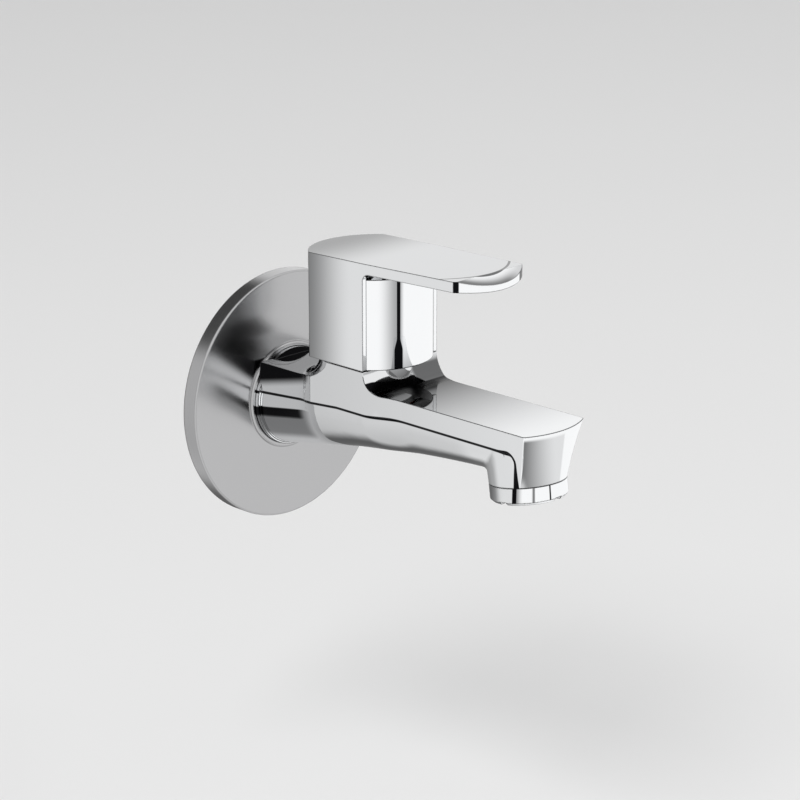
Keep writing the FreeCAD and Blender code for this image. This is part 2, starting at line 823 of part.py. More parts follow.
def spindle():
    """The brass stem: driver foot with a tongue, two seal grooves, a clip groove and splines."""
    body = doc.addObject("PartDesign::Body", "spindle_turned")
    middle = "stem_radius + fit_gap / 2 - stem_ring_section"
    floor = middle + " - stem_ring_section - fit_gap"
    corners = [
        ("0", DRIVER_LOW),
        ("cartridge_bore - disc_gap", DRIVER_LOW),
        ("cartridge_bore - disc_gap", DRIVER_HIGH),
        ("stem_radius", DRIVER_HIGH),
    ]
    for step in range(2):
        level = "column_top - seat_level - stem_ring_level + %d * stem_ring_spacing" % step
        low = level + " - stem_ring_section - fit_gap"
        high = level + " + stem_ring_section + fit_gap"
        corners += [("stem_radius", low), (floor, low), (floor, high), ("stem_radius", high)]
    corners += [
        ("stem_radius", HEX_HIGH + " + fit_gap"),
        ("stem_radius - clip_groove", HEX_HIGH + " + fit_gap"),
        ("stem_radius - clip_groove", SPLINE_LOW),
        ("spline_radius", SPLINE_LOW),
        ("spline_radius", SPINDLE_HIGH),
        ("0", SPINDLE_HIGH),
    ]
    spin = body.newObject("PartDesign::Revolution", "spindle_spin")
    spin.Profile = outline(body, "spindle_outline", "XZ_Plane", corners)
    spin.ReferenceAxis = (spin.Profile[0], ["V_Axis"])
    spin.Angle = 360
    doc.recompute()
    tooth = outline(body, "spindle_tooth", "XY_Plane", [
        ("spline_radius - spline_depth", "0"),
        ("spline_radius + spline_depth", "-2 * spline_depth"),
        ("spline_radius + spline_depth", "2 * spline_depth"),
    ])
    bind(tooth, "AttachmentOffset.Base.z", SPINDLE_HIGH)
    groove = body.newObject("PartDesign::Pocket", "spindle_groove")
    groove.Profile = tooth
    bind(groove, "Length", "spline_length")
    doc.recompute()
    teeth = body.newObject("PartDesign::PolarPattern", "spindle_splines")
    teeth.Originals = [groove]
    teeth.Axis = (tooth, ["N_Axis"])
    teeth.Angle = 360
    bind(teeth, "Occurrences", "spline_count")
    body.Tip = teeth
    doc.recompute()
    tongue_low = DRIVER_LOW + " - tongue_depth"
    tongue = block("spindle_tongue", ("-tongue_length / 2", "-tongue_width / 2", tongue_low),
                   ("tongue_length", "tongue_width", "tongue_depth"))
    return on_spindle(joined("spindle", [body, tongue]), "seat_level")


def spindle_seal_rings():
    """The two rubber rings in the stem's grooves."""
    rings = []
    for step in range(2):
        level = "column_top - seat_level - stem_ring_level + %d * stem_ring_spacing" % step
        rings.append(torus("stem_ring_%d" % (step + 1), "stem_radius + fit_gap / 2 - stem_ring_section",
                           "stem_ring_section", level))
    return on_spindle(joined("spindle_seal_rings", rings), "seat_level")


def retaining_clip():
    """The open spring clip that holds the stem down."""
    band = ring("clip_band", "stem_radius - clip_groove + fit_gap", "clip_radius", "0", "clip_height")
    mouth = block("clip_opening", ("-clip_mouth", "0", "0"), ("2 * clip_mouth", "clip_radius", "clip_height"))
    return on_spindle(cut("retaining_clip", band, [mouth]), "seat_level + %s + 2 * fit_gap" % HEX_HIGH)


def lever_plan(level):
    """The lever's outline seen from above."""
    half = size("column_half")
    reach = size("spindle_reach")
    radius = size("column_radius")
    chord = column_chord()
    tip_half = size("lever_tip_half")
    tip = size("lever_reach")
    corners = [(-tip_half, tip), (-half, reach + chord), (-half, reach - chord)]
    left = [Vector(across, -away, level) for across, away in corners]
    right = [Vector(-point.x, point.y, level) for point in reversed(left)]
    sides = []
    for run in (left, right):
        sides += [Part.LineSegment(first, second).toShape() for first, second in zip(run, run[1:])]
    back = arc_through(left[-1], on_middle_plane(reach - radius, level), right[0])
    bow = arc_through(right[-1], on_middle_plane(tip + size("lever_bow"), level), left[0])
    return Part.Wire(Part.__sortEdges__(sides + [back, bow]))


def tip_low():
    """The level of the lever's underside in the middle of its tip."""
    return size("plate_under") + size("under_rise") - size("tip_arch")


def tip_hollow():
    """What is cut from under the lever's plate, so that its sides rise towards the tip as a shallow arch."""
    half = size("column_radius")
    under = size("plate_under")
    near = -(size("spindle_reach") + column_chord() + size("skirt_corner"))
    far = -(size("lever_reach") + size("lever_bow"))
    rise = size("tip_arch") * (half / size("lever_tip_half")) ** 2
    tip = tip_low()
    low = tip - 2 * size("lever_wall")

    def gate(reach, middle, side):
        """A gate across the plate, open below, with its top side straight or arched."""
        spots = ((half, side), (half, low), (-half, low), (-half, side))
        corners = [Vector(across, reach, level) for across, level in spots]
        edges = [Part.LineSegment(*pair).toShape() for pair in zip(corners, corners[1:])]
        if side > middle:
            top = arc_through(corners[-1], Vector(0, reach, middle), corners[0])
        else:
            top = Part.LineSegment(corners[-1], corners[0]).toShape()
        return Part.Wire([top] + edges)

    return Part.makeLoft([gate(near, under, under), gate(far - SPARE, tip, tip + rise)], True, True)


def lever_handle():
    """The lever casting: a plate over the spout, and a thin skirt round the spindle, open at the front."""
    reach = size("spindle_reach")
    chord = column_chord()
    front = reach + chord
    bottom = size("column_top") + size("turn_gap")
    far = size("lever_reach") + size("lever_bow")
    corner = size("skirt_corner")
    turn = corner * (1 - math.sqrt(0.5))
    back = reach - size("column_radius") - SPARE
    under = size("plate_under")
    top = size("lever_top")
    points = [on_middle_plane(back, bottom), on_middle_plane(front, bottom),
              on_middle_plane(front, under - corner)]
    outer = [on_middle_plane(front + corner, under), on_middle_plane(far + SPARE, tip_low()),
             on_middle_plane(far + SPARE, top + size("lever_rise")), on_middle_plane(back, top), points[0]]
    edges = [Part.LineSegment(first, second).toShape() for first, second in zip(points, points[1:])]
    edges.append(arc_through(points[-1], on_middle_plane(front + turn, under - turn), outer[0]))
    edges += [Part.LineSegment(first, second).toShape() for first, second in zip(outer, outer[1:])]
    side = Part.Face(Part.Wire(edges))
    side.translate(Vector(-size("column_radius"), 0, 0))
    profile = side.extrude(Vector(2 * size("column_radius"), 0, 0))
    height = top + size("lever_rise") + SPARE - bottom
    solid = Part.Face(lever_plan(bottom)).extrude(Vector(0, 0, height)).common(profile)
    room = Part.makeCylinder(size("column_radius") - size("lever_wall"), under - bottom,
                             on_middle_plane(reach, bottom))
    inside = size("column_half") - size("lever_wall")
    lane = Part.makeBox(2 * inside, 2 * size("column_radius"), under - bottom,
                        Vector(-inside, -reach - size("column_radius"), bottom))
    facet_reach = size("lever_reach") + size("facet_start")
    facet_top = top + size("lever_rise") * (facet_reach - back) / (far + SPARE - back)
    slope = size("facet_drop") / (far - facet_reach)
    low = facet_top - slope * (far + SPARE - facet_reach)
    above = 2 * size("lever_rise")
    wedge = Part.makePolygon([
        on_middle_plane(facet_reach, facet_top), on_middle_plane(far + SPARE, low),
        on_middle_plane(far + SPARE, top + above), on_middle_plane(facet_reach, top + above),
        on_middle_plane(facet_reach, facet_top),
    ])
    facet = Part.Face(wedge)
    facet.translate(Vector(-size("column_radius"), 0, 0))
    facet = facet.extrude(Vector(2 * size("column_radius"), 0, 0))
    key_hole = bored(size("cap_radius") + size("fit_gap"), on_middle_plane(back, screw_height()),
                     Vector(0, -1, 0), size("lever_wall") + 3 * SPARE)
    return casting("lever_handle", solid.cut([room.common(lane), facet, key_hole, tip_hollow()]))


def screw_height():
    """The level of the lever's fixing screw, as a plain number."""
    return number(SCREW_LEVEL)


HUB_LEVEL = "column_top + turn_gap + hub_height"
ADAPTER_LEVEL = HUB_LEVEL + " + adapter_lift"
SCREW_LEVEL = ADAPTER_LEVEL + " + screw_rise"
INSERT_HALF = "column_half - lever_wall - fit_gap"
INSERT_RADIUS = "column_radius - lever_wall - fit_gap"


def drill_back(name, radius, start, end):
    """A level drill along Y at the screw's height, between two reaches from the wall."""
    tool = rod(name, radius, "%s - (%s)" % (end, start))
    tool.Placement = Placement(Vector(0, -number(start), number(SCREW_LEVEL)), Rotation(Vector(1, 0, 0), 90))
    bind(tool, "Placement.Base.y", "-(%s)" % start)
    bind(tool, "Placement.Base.z", SCREW_LEVEL)
    return tool


SKIRT_BACK = "spindle_reach - column_radius"
SOCKET_BACK = "spindle_reach - adapter_side / 2 - fit_gap"
CAP_OUTER = SKIRT_BACK + " + cap_recess"
CAP_INNER = SKIRT_BACK + " + cap_recess + cap_height"


def lever_insert():
    """The hub inside the skirt: its bowed front shows below the plate, its socket holds the adapter."""
    bottom = "column_top + turn_gap"
    drum = rod("insert_drum", INSERT_RADIUS, "insert_top - (%s)" % bottom)
    slab = block("insert_slab", ("-(%s)" % INSERT_HALF, "-(%s)" % INSERT_RADIUS, "0"),
                 ("2 * (%s)" % INSERT_HALF, "2 * (%s)" % INSERT_RADIUS, "insert_top - (%s)" % bottom))
    column = doc.addObject("Part::Common", "insert_column")
    column.Base = drum
    column.Tool = slab
    shelf = rod("insert_seat", "insert_shelf", "plate_under - fit_gap - (%s)" % bottom)
    whole = joined("insert_whole", [column, shelf])
    on_spindle(whole, bottom)
    room = on_spindle(rod("insert_room", "shoulder_radius + hub_room", "hub_height"), bottom)
    side = "adapter_side + 2 * fit_gap"
    socket = block("insert_socket", ("-(%s) / 2" % side, "0", "0"),
                   (side, side, "adapter_height + 2 * adapter_lift"))
    place(socket, HUB_LEVEL, "spindle_reach + adapter_side / 2 + fit_gap")
    tools = [room, socket,
             drill_back("insert_cap_hole", "cap_radius + fit_gap", SKIRT_BACK, CAP_INNER + " + fit_gap"),
             drill_back("insert_screw_hole", "screw_radius + fit_gap", SKIRT_BACK, SOCKET_BACK)]
    return cut("lever_insert", whole, tools)


def spline_adapter():
    """The square bush that fits the lever's hub to the spindle's splines."""
    body = doc.addObject("PartDesign::Body", "spline_adapter")
    half = "adapter_side / 2"
    square = outline(body, "adapter_square", "XY_Plane", [
        ("-%s" % half, "-%s" % half), (half, "-%s" % half), (half, half), ("-%s" % half, half)])
    circle = square.addGeometry(Part.Circle(Vector(), Vector(0, 0, 1), number("spline_radius + fit_gap")))
    square.addConstraint(Sketcher.Constraint("Coincident", circle, 3, -1, 1))
    index = square.addConstraint(Sketcher.Constraint("Radius", circle, number("spline_radius + fit_gap")))
    bind(square, "Constraints[%d]" % index, "spline_radius + fit_gap")
    pad = body.newObject("PartDesign::Pad", "adapter_pad")
    pad.Profile = square
    bind(pad, "Length", "adapter_height")
    doc.recompute()
    tooth = outline(body, "adapter_tooth", "XY_Plane", [
        ("spline_radius - spline_depth + 2 * fit_gap", "0"),
        ("spline_radius + spline_depth", "-2 * spline_depth + 3 * fit_gap"),
        ("spline_radius + spline_depth", "2 * spline_depth - 3 * fit_gap"),
    ])
    ridge = body.newObject("PartDesign::Pad", "adapter_ridge")
    ridge.Profile = tooth
    bind(ridge, "Length", "adapter_height")
    doc.recompute()
    ridges = body.newObject("PartDesign::PolarPattern", "adapter_ridges")
    ridges.Originals = [ridge]
    ridges.Axis = (tooth, ["N_Axis"])
    ridges.Angle = 360
    bind(ridges, "Occurrences", "spline_count")
    body.Tip = ridges
    doc.recompute()
    return on_spindle(body, ADAPTER_LEVEL)


def lever_screw():
    """The headless screw behind the lever that clamps the adapter, with its hexagon socket."""
    start = CAP_INNER + " + screw_setback"
    shank = drill_back("screw_shank", "screw_radius", start, SOCKET_BACK)
    key = doc.addObject("Part::Prism", "screw_key_socket")
    key.Polygon = 6
    bind(key, "Circumradius", "screw_key / 2 / cos(30)")
    bind(key, "Height", "screw_key_depth")
    key.Placement = Placement(Vector(0, -number(start), number(SCREW_LEVEL)), Rotation(Vector(1, 0, 0), 90))
    bind(key, "Placement.Base.y", "-(%s)" % start)
    bind(key, "Placement.Base.z", SCREW_LEVEL)
    return cut("lever_screw", shank, [key])


def aerator_rim():
    """The threaded aerator sleeve with its visible rim and the key slots under it."""
    sleeve = turned("rim_sleeve", [
        ("rim_mouth", "-rim_height"),
        ("outlet_radius - rim_chamfer", "-rim_height"),
        ("outlet_radius", "rim_chamfer - rim_height"),
        ("outlet_radius", "-fit_gap"),
        ("outlet_thread", "-fit_gap"),
        ("outlet_thread", "thread_height"),
        ("sleeve_bore", "thread_height"),
        ("sleeve_bore", "rim_ledge - rim_height"),
        ("rim_mouth", "rim_ledge - rim_height"),
    ])
    across = block("rim_slot_across", ("-outlet_radius", "-key_width / 2", "-rim_height"),
                   ("2 * outlet_radius", "key_width", "key_depth"))
    along = block("rim_slot_along", ("-key_width / 2", "-outlet_radius", "-rim_height"),
                  ("key_width", "2 * outlet_radius", "key_depth"))
    return in_outlet(cut("aerator_rim", sleeve, [across, along]))


GRID_LOW = "rim_ledge - rim_height + fit_gap"
CORE_LOW = GRID_LOW + " + grid_height + fit_gap"
SCREEN_LOW = CORE_LOW + " + core_height + fit_gap"


def aerator_grid():
    """The honeycomb outlet grid that straightens the water, as rings of round holes."""
    plate = rod("grid_plate", "sleeve_bore - fit_gap", "grid_height", GRID_LOW)
    holes = [rod("grid_hole_0", "grid_hole", "grid_height", GRID_LOW)]
    for circle in (1, 2, 3):
        for step in range(6 * circle):
            hole = rod("grid_hole_%d_%d" % (circle, step + 1), "grid_hole", "grid_height", GRID_LOW)
            bind(hole, "Placement.Base.x", "%d * grid_spacing * cos(%g)" % (circle, 60 / circle * step))
            bind(hole, "Placement.Base.y", "%d * grid_spacing * sin(%g)" % (circle, 60 / circle * step))
            holes.append(hole)
    return in_outlet(cut("aerator_grid", plate, [joined("grid_holes", holes)]))


def aerator_core():
    """The mixing cup that breaks the water into jets."""
    cup = turned("core_cup", [
        ("0", "0"),
        ("sleeve_bore - fit_gap - core_wall", "0"),
        ("sleeve_bore - fit_gap - core_wall", "core_height - core_floor"),
        ("sleeve_bore - fit_gap", "core_height - core_floor"),
        ("sleeve_bore - fit_gap", "core_height"),
        ("0", "core_height"),
    ])
    bind(cup, "Placement.Base.z", CORE_LOW)
    jets = []
    for step in range(int(size("jet_count"))):
        jet = rod("core_jet_%d" % (step + 1), "jet_radius", "core_height", CORE_LOW)
        bind(jet, "Placement.Base.x", "(sleeve_bore - 3 * core_wall) * cos(%d * 360 / jet_count)" % step)
        bind(jet, "Placement.Base.y", "(sleeve_bore - 3 * core_wall) * sin(%d * 360 / jet_count)" % step)
        jets.append(jet)
    return in_outlet(cut("aerator_core", cup, [joined("core_jets", jets)]))


def aerator_screen():
    """The domed strainer on top of the mixing cup."""
    dome = turned("aerator_screen", [
        ("0", SCREEN_LOW + " + screen_rise"),
        ("sleeve_bore - fit_gap", SCREEN_LOW),
        ("sleeve_bore - fit_gap", SCREEN_LOW + " + screen_sheet"),
        ("0", SCREEN_LOW + " + screen_rise + screen_sheet"),
    ])
    return in_outlet(dome)


def pieces():
    """Every piece of the tap, in the order in which it is put together."""
    seal = ring("base_seal", "seal_hole", "cartridge_bore - fit_gap", "0", "seal_height")
    fibre = ring("shoulder_washer", "pipe_thread_radius + fit_gap", "shoulder_radius", "0", "fibre_sheet")
    thrust = ring("thrust_washer", "stem_radius + fit_gap", "cartridge_bore - disc_gap", "0", "washer_height")
    flat = ring("aerator_washer", "washer_hole", "outlet_thread - fit_gap", "thread_height",
                "thread_height + washer_sheet")
    return [
        tap_body(),
        wall_flange(),
        flange_grip_ring(),
        cartridge_housing(),
        on_spindle(fibre, "column_top"),
        on_spindle(seal, "seat_level"),
        fixed_disc(),
        moving_disc(),
        spindle(),
        on_spindle(thrust, "seat_level + %s + fit_gap" % DRIVER_HIGH),
        spindle_seal_rings(),
        retaining_clip(),
        lever_handle(),
        lever_insert(),
        spline_adapter(),
        lever_screw(),
        drill_back("screw_cap", "cap_radius", CAP_OUTER, CAP_INNER),
        aerator_rim(),
        aerator_grid(),
        aerator_core(),
        aerator_screen(),
        in_outlet(flat),
    ]


def check(parts):
    """Stops if any object failed to build, or if a piece has no sound solid."""
    for item in doc.Objects:
        if "Invalid" in item.State or "Error" in item.State:
            raise RuntimeError("%s did not build" % item.Label)
    for item in parts:
        if item.Shape.isNull() or not item.Shape.isValid() or not item.Shape.Solids:
            raise RuntimeError("%s has no sound solid" % item.Label)


def main():
    """Builds the pieces, checks them and writes one file for each."""
    fill_sheet()
    parts = pieces()
    doc.recompute()
    check(parts)
    for item in parts:
        item.Shape.exportStep("parts/%s.step" % item.Label)
        print("%-20s %9.1f mm3  %d solid" % (item.Label, item.Shape.Volume, len(item.Shape.Solids)))


main()
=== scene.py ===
import math

import bmesh
import bpy
from bpy.props import FloatProperty, FloatVectorProperty, PointerProperty
from mathutils import Matrix, Vector


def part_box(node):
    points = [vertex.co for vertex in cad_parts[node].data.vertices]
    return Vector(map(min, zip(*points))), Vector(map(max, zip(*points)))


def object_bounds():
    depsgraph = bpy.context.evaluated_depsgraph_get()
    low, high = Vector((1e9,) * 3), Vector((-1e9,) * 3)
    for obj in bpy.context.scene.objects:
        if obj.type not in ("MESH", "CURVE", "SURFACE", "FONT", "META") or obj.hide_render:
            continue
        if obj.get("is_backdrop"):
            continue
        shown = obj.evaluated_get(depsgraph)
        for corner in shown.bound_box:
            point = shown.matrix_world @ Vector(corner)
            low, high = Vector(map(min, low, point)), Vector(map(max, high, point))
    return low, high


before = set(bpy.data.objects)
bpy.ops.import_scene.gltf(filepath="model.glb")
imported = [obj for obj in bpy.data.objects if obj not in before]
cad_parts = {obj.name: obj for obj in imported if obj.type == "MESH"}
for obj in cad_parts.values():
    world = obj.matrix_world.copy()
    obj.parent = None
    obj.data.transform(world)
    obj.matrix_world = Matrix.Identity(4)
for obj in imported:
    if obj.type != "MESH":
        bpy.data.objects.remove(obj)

bl_info = {
    "name": "Bib tap finishes",
    "version": (1, 0, 0),
    "blender": (4, 5, 0),
    "location": "3D View > Sidebar > Bib Tap",
    "description": "Finishes, studio and camera for a wall mounted bib tap",
    "category": "Object",
}

MM = 0.001


# Settings a user can change

class ChromeSettings(bpy.types.PropertyGroup):
    """The chrome plate on the castings."""
    plate_colour: FloatVectorProperty(
        name="Plate colour", description="Colour of clean chrome",
        default=(0.93, 0.94, 0.95), min=0, max=1, size=3, subtype="COLOR")
    # Painted reflection: the near black that the painted edge lines and the painted reflections and shade on
    # the chrome mix towards.
    painted_dark_colour: FloatVectorProperty(
        name="Edge colour", description="Colour of the dark lines along the crisp edges",
        default=(0.006, 0.006, 0.007), min=0, max=1, size=3, subtype="COLOR")
    flange_colour: FloatVectorProperty(
        name="Flange colour", description="Colour of the brushed steel cover plate",
        default=(0.485, 0.485, 0.49), min=0, max=1, size=3, subtype="COLOR")
    edge_width: FloatProperty(
        name="Edge width", description="How far the softened edges reach",
        default=0.45 * MM, min=0, unit="LENGTH", precision=5)
    gloss: FloatProperty(
        name="Polish roughness", description="Roughness of the best polished places",
        default=0.03, min=0, max=1, subtype="FACTOR")
    haze: FloatProperty(
        name="Haze roughness", description="Roughness where the polish is a little dull",
        default=0.075, min=0, max=1, subtype="FACTOR")
    flange_roughness: FloatProperty(
        name="Flange roughness", description="Roughness of the softly brushed wall flange",
        default=0.2, min=0, max=1, subtype="FACTOR")
    wave_depth: FloatProperty(
        name="Wave depth", description="Depth of the slow waves that polishing leaves",
        default=0.012 * MM, min=0, unit="LENGTH", precision=6)


class MetalSettings(bpy.types.PropertyGroup):
    """The bare brass and the spring steel inside."""
    brass_colour: FloatVectorProperty(
        name="Brass colour", description="Colour of freshly turned brass",
        default=(0.78, 0.57, 0.26), min=0, max=1, size=3, subtype="COLOR")
    tarnish_colour: FloatVectorProperty(
        name="Tarnish colour", description="Colour of the darker brass",
        default=(0.45, 0.30, 0.13), min=0, max=1, size=3, subtype="COLOR")
    steel_colour: FloatVectorProperty(
        name="Steel colour", description="Colour of the spring steel",
        default=(0.56, 0.57, 0.58), min=0, max=1, size=3, subtype="COLOR")
    turning_pitch: FloatProperty(
        name="Turning pitch", description="Distance between the marks of the turning tool",
        default=0.25 * MM, min=0, unit="LENGTH", precision=5)
    turning_depth: FloatProperty(
        name="Turning depth", description="Depth of the marks of the turning tool",
        default=0.01 * MM, min=0, unit="LENGTH", precision=6)


class SoftPartSettings(bpy.types.PropertyGroup):
    """The seals, washers, discs and moulded pieces."""
    rubber_colour: FloatVectorProperty(
        name="Rubber colour", description="Colour of the seals",
        default=(0.022, 0.022, 0.024), min=0, max=1, size=3, subtype="COLOR")
    ceramic_colour: FloatVectorProperty(
        name="Ceramic colour", description="Colour of the discs",
        default=(0.86, 0.85, 0.81), min=0, max=1, size=3, subtype="COLOR")
    fibre_colour: FloatVectorProperty(
        name="Fibre colour", description="Colour of the fibre washer",
        default=(0.42, 0.06, 0.04), min=0, max=1, size=3, subtype="COLOR")
    slip_colour: FloatVectorProperty(
        name="White plastic colour", description="Colour of the slippery plastic",
        default=(0.80, 0.80, 0.78), min=0, max=1, size=3, subtype="COLOR")
    grey_colour: FloatVectorProperty(
        name="Grey plastic colour", description="Colour of the grey mouldings",
        default=(0.30, 0.31, 0.32), min=0, max=1, size=3, subtype="COLOR")
    grain_size: FloatProperty(
        name="Grain size", description="Size of the grain of the moulded pieces",
        default=0.18 * MM, min=0, unit="LENGTH", precision=5)
    grain_depth: FloatProperty(
        name="Grain depth", description="Depth of the grain of the moulded pieces",
        default=0.008 * MM, min=0, unit="LENGTH", precision=6)


class StudioSettings(bpy.types.PropertyGroup):
    """The floor, the lamps and what the chrome reflects."""
    floor_colour: FloatVectorProperty(
        name="Floor colour", description="Colour of the plain floor",
        default=(0.80, 0.80, 0.80), min=0, max=1, size=3, subtype="COLOR")
    room_colour: FloatVectorProperty(
        name="Room colour", description="Colour of the room beyond the floor",
        default=(0.86, 0.86, 0.87), min=0, max=1, size=3, subtype="COLOR")
    floor_drop: FloatProperty(
        name="Floor drop", description="How far the floor is under the tap's lowest point",
        default=0.09, min=0, unit="LENGTH")
    floor_side: FloatProperty(
        name="Floor side", description="Length of the floor's sides",
        default=12.0, min=0, unit="LENGTH")
    reflected_tone: FloatProperty(
        name="Reflected tone", description="How pale the chrome sees the room, between the cards",
        default=0.76, min=0, max=1)
    ambient: FloatProperty(
        name="Room light", description="Strength of the light from all round",
        default=0.62, min=0)
    key_power: FloatProperty(
        name="Main lamp", description="Power of the large lamp over the left shoulder",
        default=30.0, min=0, unit="POWER")
    fill_power: FloatProperty(
        name="Second lamp", description="Power of the lamp on the right",
        default=12.0, min=0, unit="POWER")


class CameraSettings(bpy.types.PropertyGroup):
    """Where the photograph was taken from."""
    azimuth: FloatProperty(
        name="Azimuth",
        description="How far the camera stands round from the front, to the left when negative",
        default=math.radians(-45.39), subtype="ANGLE")
    elevation: FloatProperty(
        name="Elevation", description="How far the camera stands above the level",
        default=math.radians(17.36), subtype="ANGLE")
    distance: FloatProperty(
        name="Distance", description="From the wall's centre point to the camera, along the line of sight",
        default=0.8, min=0, unit="LENGTH")
    aside: FloatProperty(
        name="Aside", description="How far the line of sight passes to the right of the wall's centre point",
        default=36.40 * MM, unit="LENGTH", precision=5)
    above: FloatProperty(
        name="Above", description="How far the line of sight passes above the wall's centre point",
        default=-3.00 * MM, unit="LENGTH", precision=5)
    focal_pixels: FloatProperty(
        name="Focal length in pixels", description="Focal length for a picture of the photograph's width",
        default=2670.0, min=1)
    picture_pixels: FloatProperty(
        name="Picture width in pixels", description="Width of the photograph",
        default=800.0, min=1)


# Building node trees

class Tree:
    """A node tree being filled, with short ways to add nodes and join them."""

    def __init__(self, tree):
        self.tree = tree

    def add(self, kind, **settings):
        """A new node of a kind, with its plain settings made."""
        node = self.tree.nodes.new(kind)
        for name, value in settings.items():
            setattr(node, name, value)
        return node

    def feed(self, source, target):
        """Joins an output to an input, or sets the input's own value."""
        if isinstance(source, bpy.types.NodeSocket):
            self.tree.links.new(source, target)
        else:
            target.default_value = source

    def maths(self, operation, first, second=0.0):
        """The result of one sum on two values."""
        node = self.add("ShaderNodeMath", operation=operation)
        self.feed(first, node.inputs[0])
        self.feed(second, node.inputs[1])
        return node.outputs[0]

    def ranged(self, value, start, end, low=0.0, high=1.0):
        """A value carried smoothly from one range to another, which is 0 at the start to 1 at the end."""
        node = self.add("ShaderNodeMapRange", interpolation_type="SMOOTHSTEP", clamp=True)
        for source, socket in zip((value, start, end, low, high), node.inputs):
            self.feed(source, socket)
        return node.outputs[0]

    def sloped(self, value, start, end, low=0.0, high=1.0):
        """A value carried in a straight line from one range to another."""
        socket = self.ranged(value, start, end, low, high)
        socket.node.interpolation_type = "LINEAR"
        return socket

    def mixed(self, share, first, second):
        """A colour between two colours. The node keeps its colours in sockets after those for numbers."""
        node = self.add("ShaderNodeMix", data_type="RGBA")
        first_colour, second_colour, mixed_colour = node.inputs[6], node.inputs[7], node.outputs[2]
        self.feed(share, node.inputs[0])
        self.feed(opaque(first), first_colour)
        self.feed(opaque(second), second_colour)
        return mixed_colour

    def between(self, share, first, second):
        """A number between two numbers."""
        node = self.add("ShaderNodeMix", data_type="FLOAT")
        first_number, second_number = node.inputs[2], node.inputs[3]
        self.feed(share, node.inputs[0])
        self.feed(first, first_number)
        self.feed(second, second_number)
        return node.outputs[0]

    def noise(self, place, scale, detail=2.0, roughness=0.5):
        """Soft random spots, from 0 to 1."""
        node = self.add("ShaderNodeTexNoise")
        self.feed(place, node.inputs["Vector"])
        self.feed(scale, node.inputs["Scale"])
        node.inputs["Detail"].default_value = detail
        node.inputs["Roughness"].default_value = roughness
        return node.outputs[0]

    def place(self):
        """Where on the piece a point is, in metres."""
        return self.add("ShaderNodeTexCoord").outputs["Object"]

    def millimetres(self):
        """Where on the piece a point is, along each axis, in millimetres."""
        scaled = self.add("ShaderNodeVectorMath", operation="SCALE")
        self.feed(self.place(), scaled.inputs[0])
        self.feed(1 / MM, scaled.inputs["Scale"])
        return self.axes(scaled.outputs[0])

    def slant(self):
        """Which way the surface faces, on the piece's own axes, so that it stays when the piece turns."""
        turned = self.add("ShaderNodeVectorTransform", vector_type="NORMAL",
                          convert_from="WORLD", convert_to="OBJECT")
        self.feed(self.add("ShaderNodeNewGeometry").outputs["Normal"], turned.inputs[0])
        return turned.outputs[0]

    def axes(self, vector):
        """The three parts of a vector."""
        parts = self.add("ShaderNodeSeparateXYZ")
        self.feed(vector, parts.inputs[0])
        return parts.outputs

    def product(self, *values):
        """Several values multiplied together."""
        result = values[0]
        for value in values[1:]:
            result = self.maths("MULTIPLY", result, value)
        return result

    def largest(self, *values):
        """The largest of several values."""
        result = values[0]
        for value in values[1:]:
            result = self.maths("MAXIMUM", result, value)
        return result

    def band(self, value, start, full, end_full, end):
        """1 between two values, fading to 0 outside them."""
        return self.product(self.ranged(value, start, full), self.ranged(value, end, end_full))


def opaque(colour):
    """A colour with full cover, or the socket it already is."""
    if isinstance(colour, bpy.types.NodeSocket):
        return colour
    return (*colour, 1.0)


def dimmed(colour, share):
    """A colour with each part cut to a share of itself."""
    return tuple(share * part for part in colour)


def shared_group(name, inputs, outputs, fill):
    """A shader node group with named sockets, built the first time it is asked for."""
    group = bpy.data.node_groups.get(name)
    if group:
        return group
    group = bpy.data.node_groups.new(name, "ShaderNodeTree")
    for label, kind, default in inputs:
        socket = group.interface.new_socket(name=label, in_out="INPUT", socket_type=kind)
        if default is not None:
            socket.default_value = default
    for label, kind in outputs:
        group.interface.new_socket(name=label, in_out="OUTPUT", socket_type=kind)
    tree = Tree(group)
    entry = tree.add("NodeGroupInput")
    leave = tree.add("NodeGroupOutput")
    fill(tree, entry.outputs, leave.inputs)
    return group


def use_group(tree, group, **values):
    """A shared group placed in a material with its own values."""
    node = tree.add("ShaderNodeGroup", node_tree=group)
    for label, value in values.items():
        tree.feed(value, node.inputs[label.replace("_", " ")])
    return node.outputs


# Effects that several finishes share

def edge_lines():
    """How near a point is to a crisp edge, and the normal of the softened edge.

    Start and Full say how far the softened normal has turned, as 1 less the cosine.
    """
    def fill(tree, given, result):
        soft = tree.add("ShaderNodeBevel", samples=8)
        tree.feed(given["Width"], soft.inputs["Radius"])
        plain = tree.add("ShaderNodeNewGeometry").outputs["Normal"]
        product = tree.add("ShaderNodeVectorMath", operation="DOT_PRODUCT")
        tree.feed(soft.outputs["Normal"], product.inputs[0])
        tree.feed(plain, product.inputs[1])
        turned = tree.maths("SUBTRACT", 1.0, product.outputs["Value"])
        tree.feed(tree.ranged(turned, given["Start"], given["Full"]), result["Edge"])
        tree.feed(soft.outputs["Normal"], result["Normal"])

    return shared_group(
        "Edge lines",
        [("Width", "NodeSocketFloat", 0.4 * MM), ("Start", "NodeSocketFloat", 0.006),
         ("Full", "NodeSocketFloat", 0.026)],
        [("Edge", "NodeSocketFloat"), ("Normal", "NodeSocketVector")],
        fill)


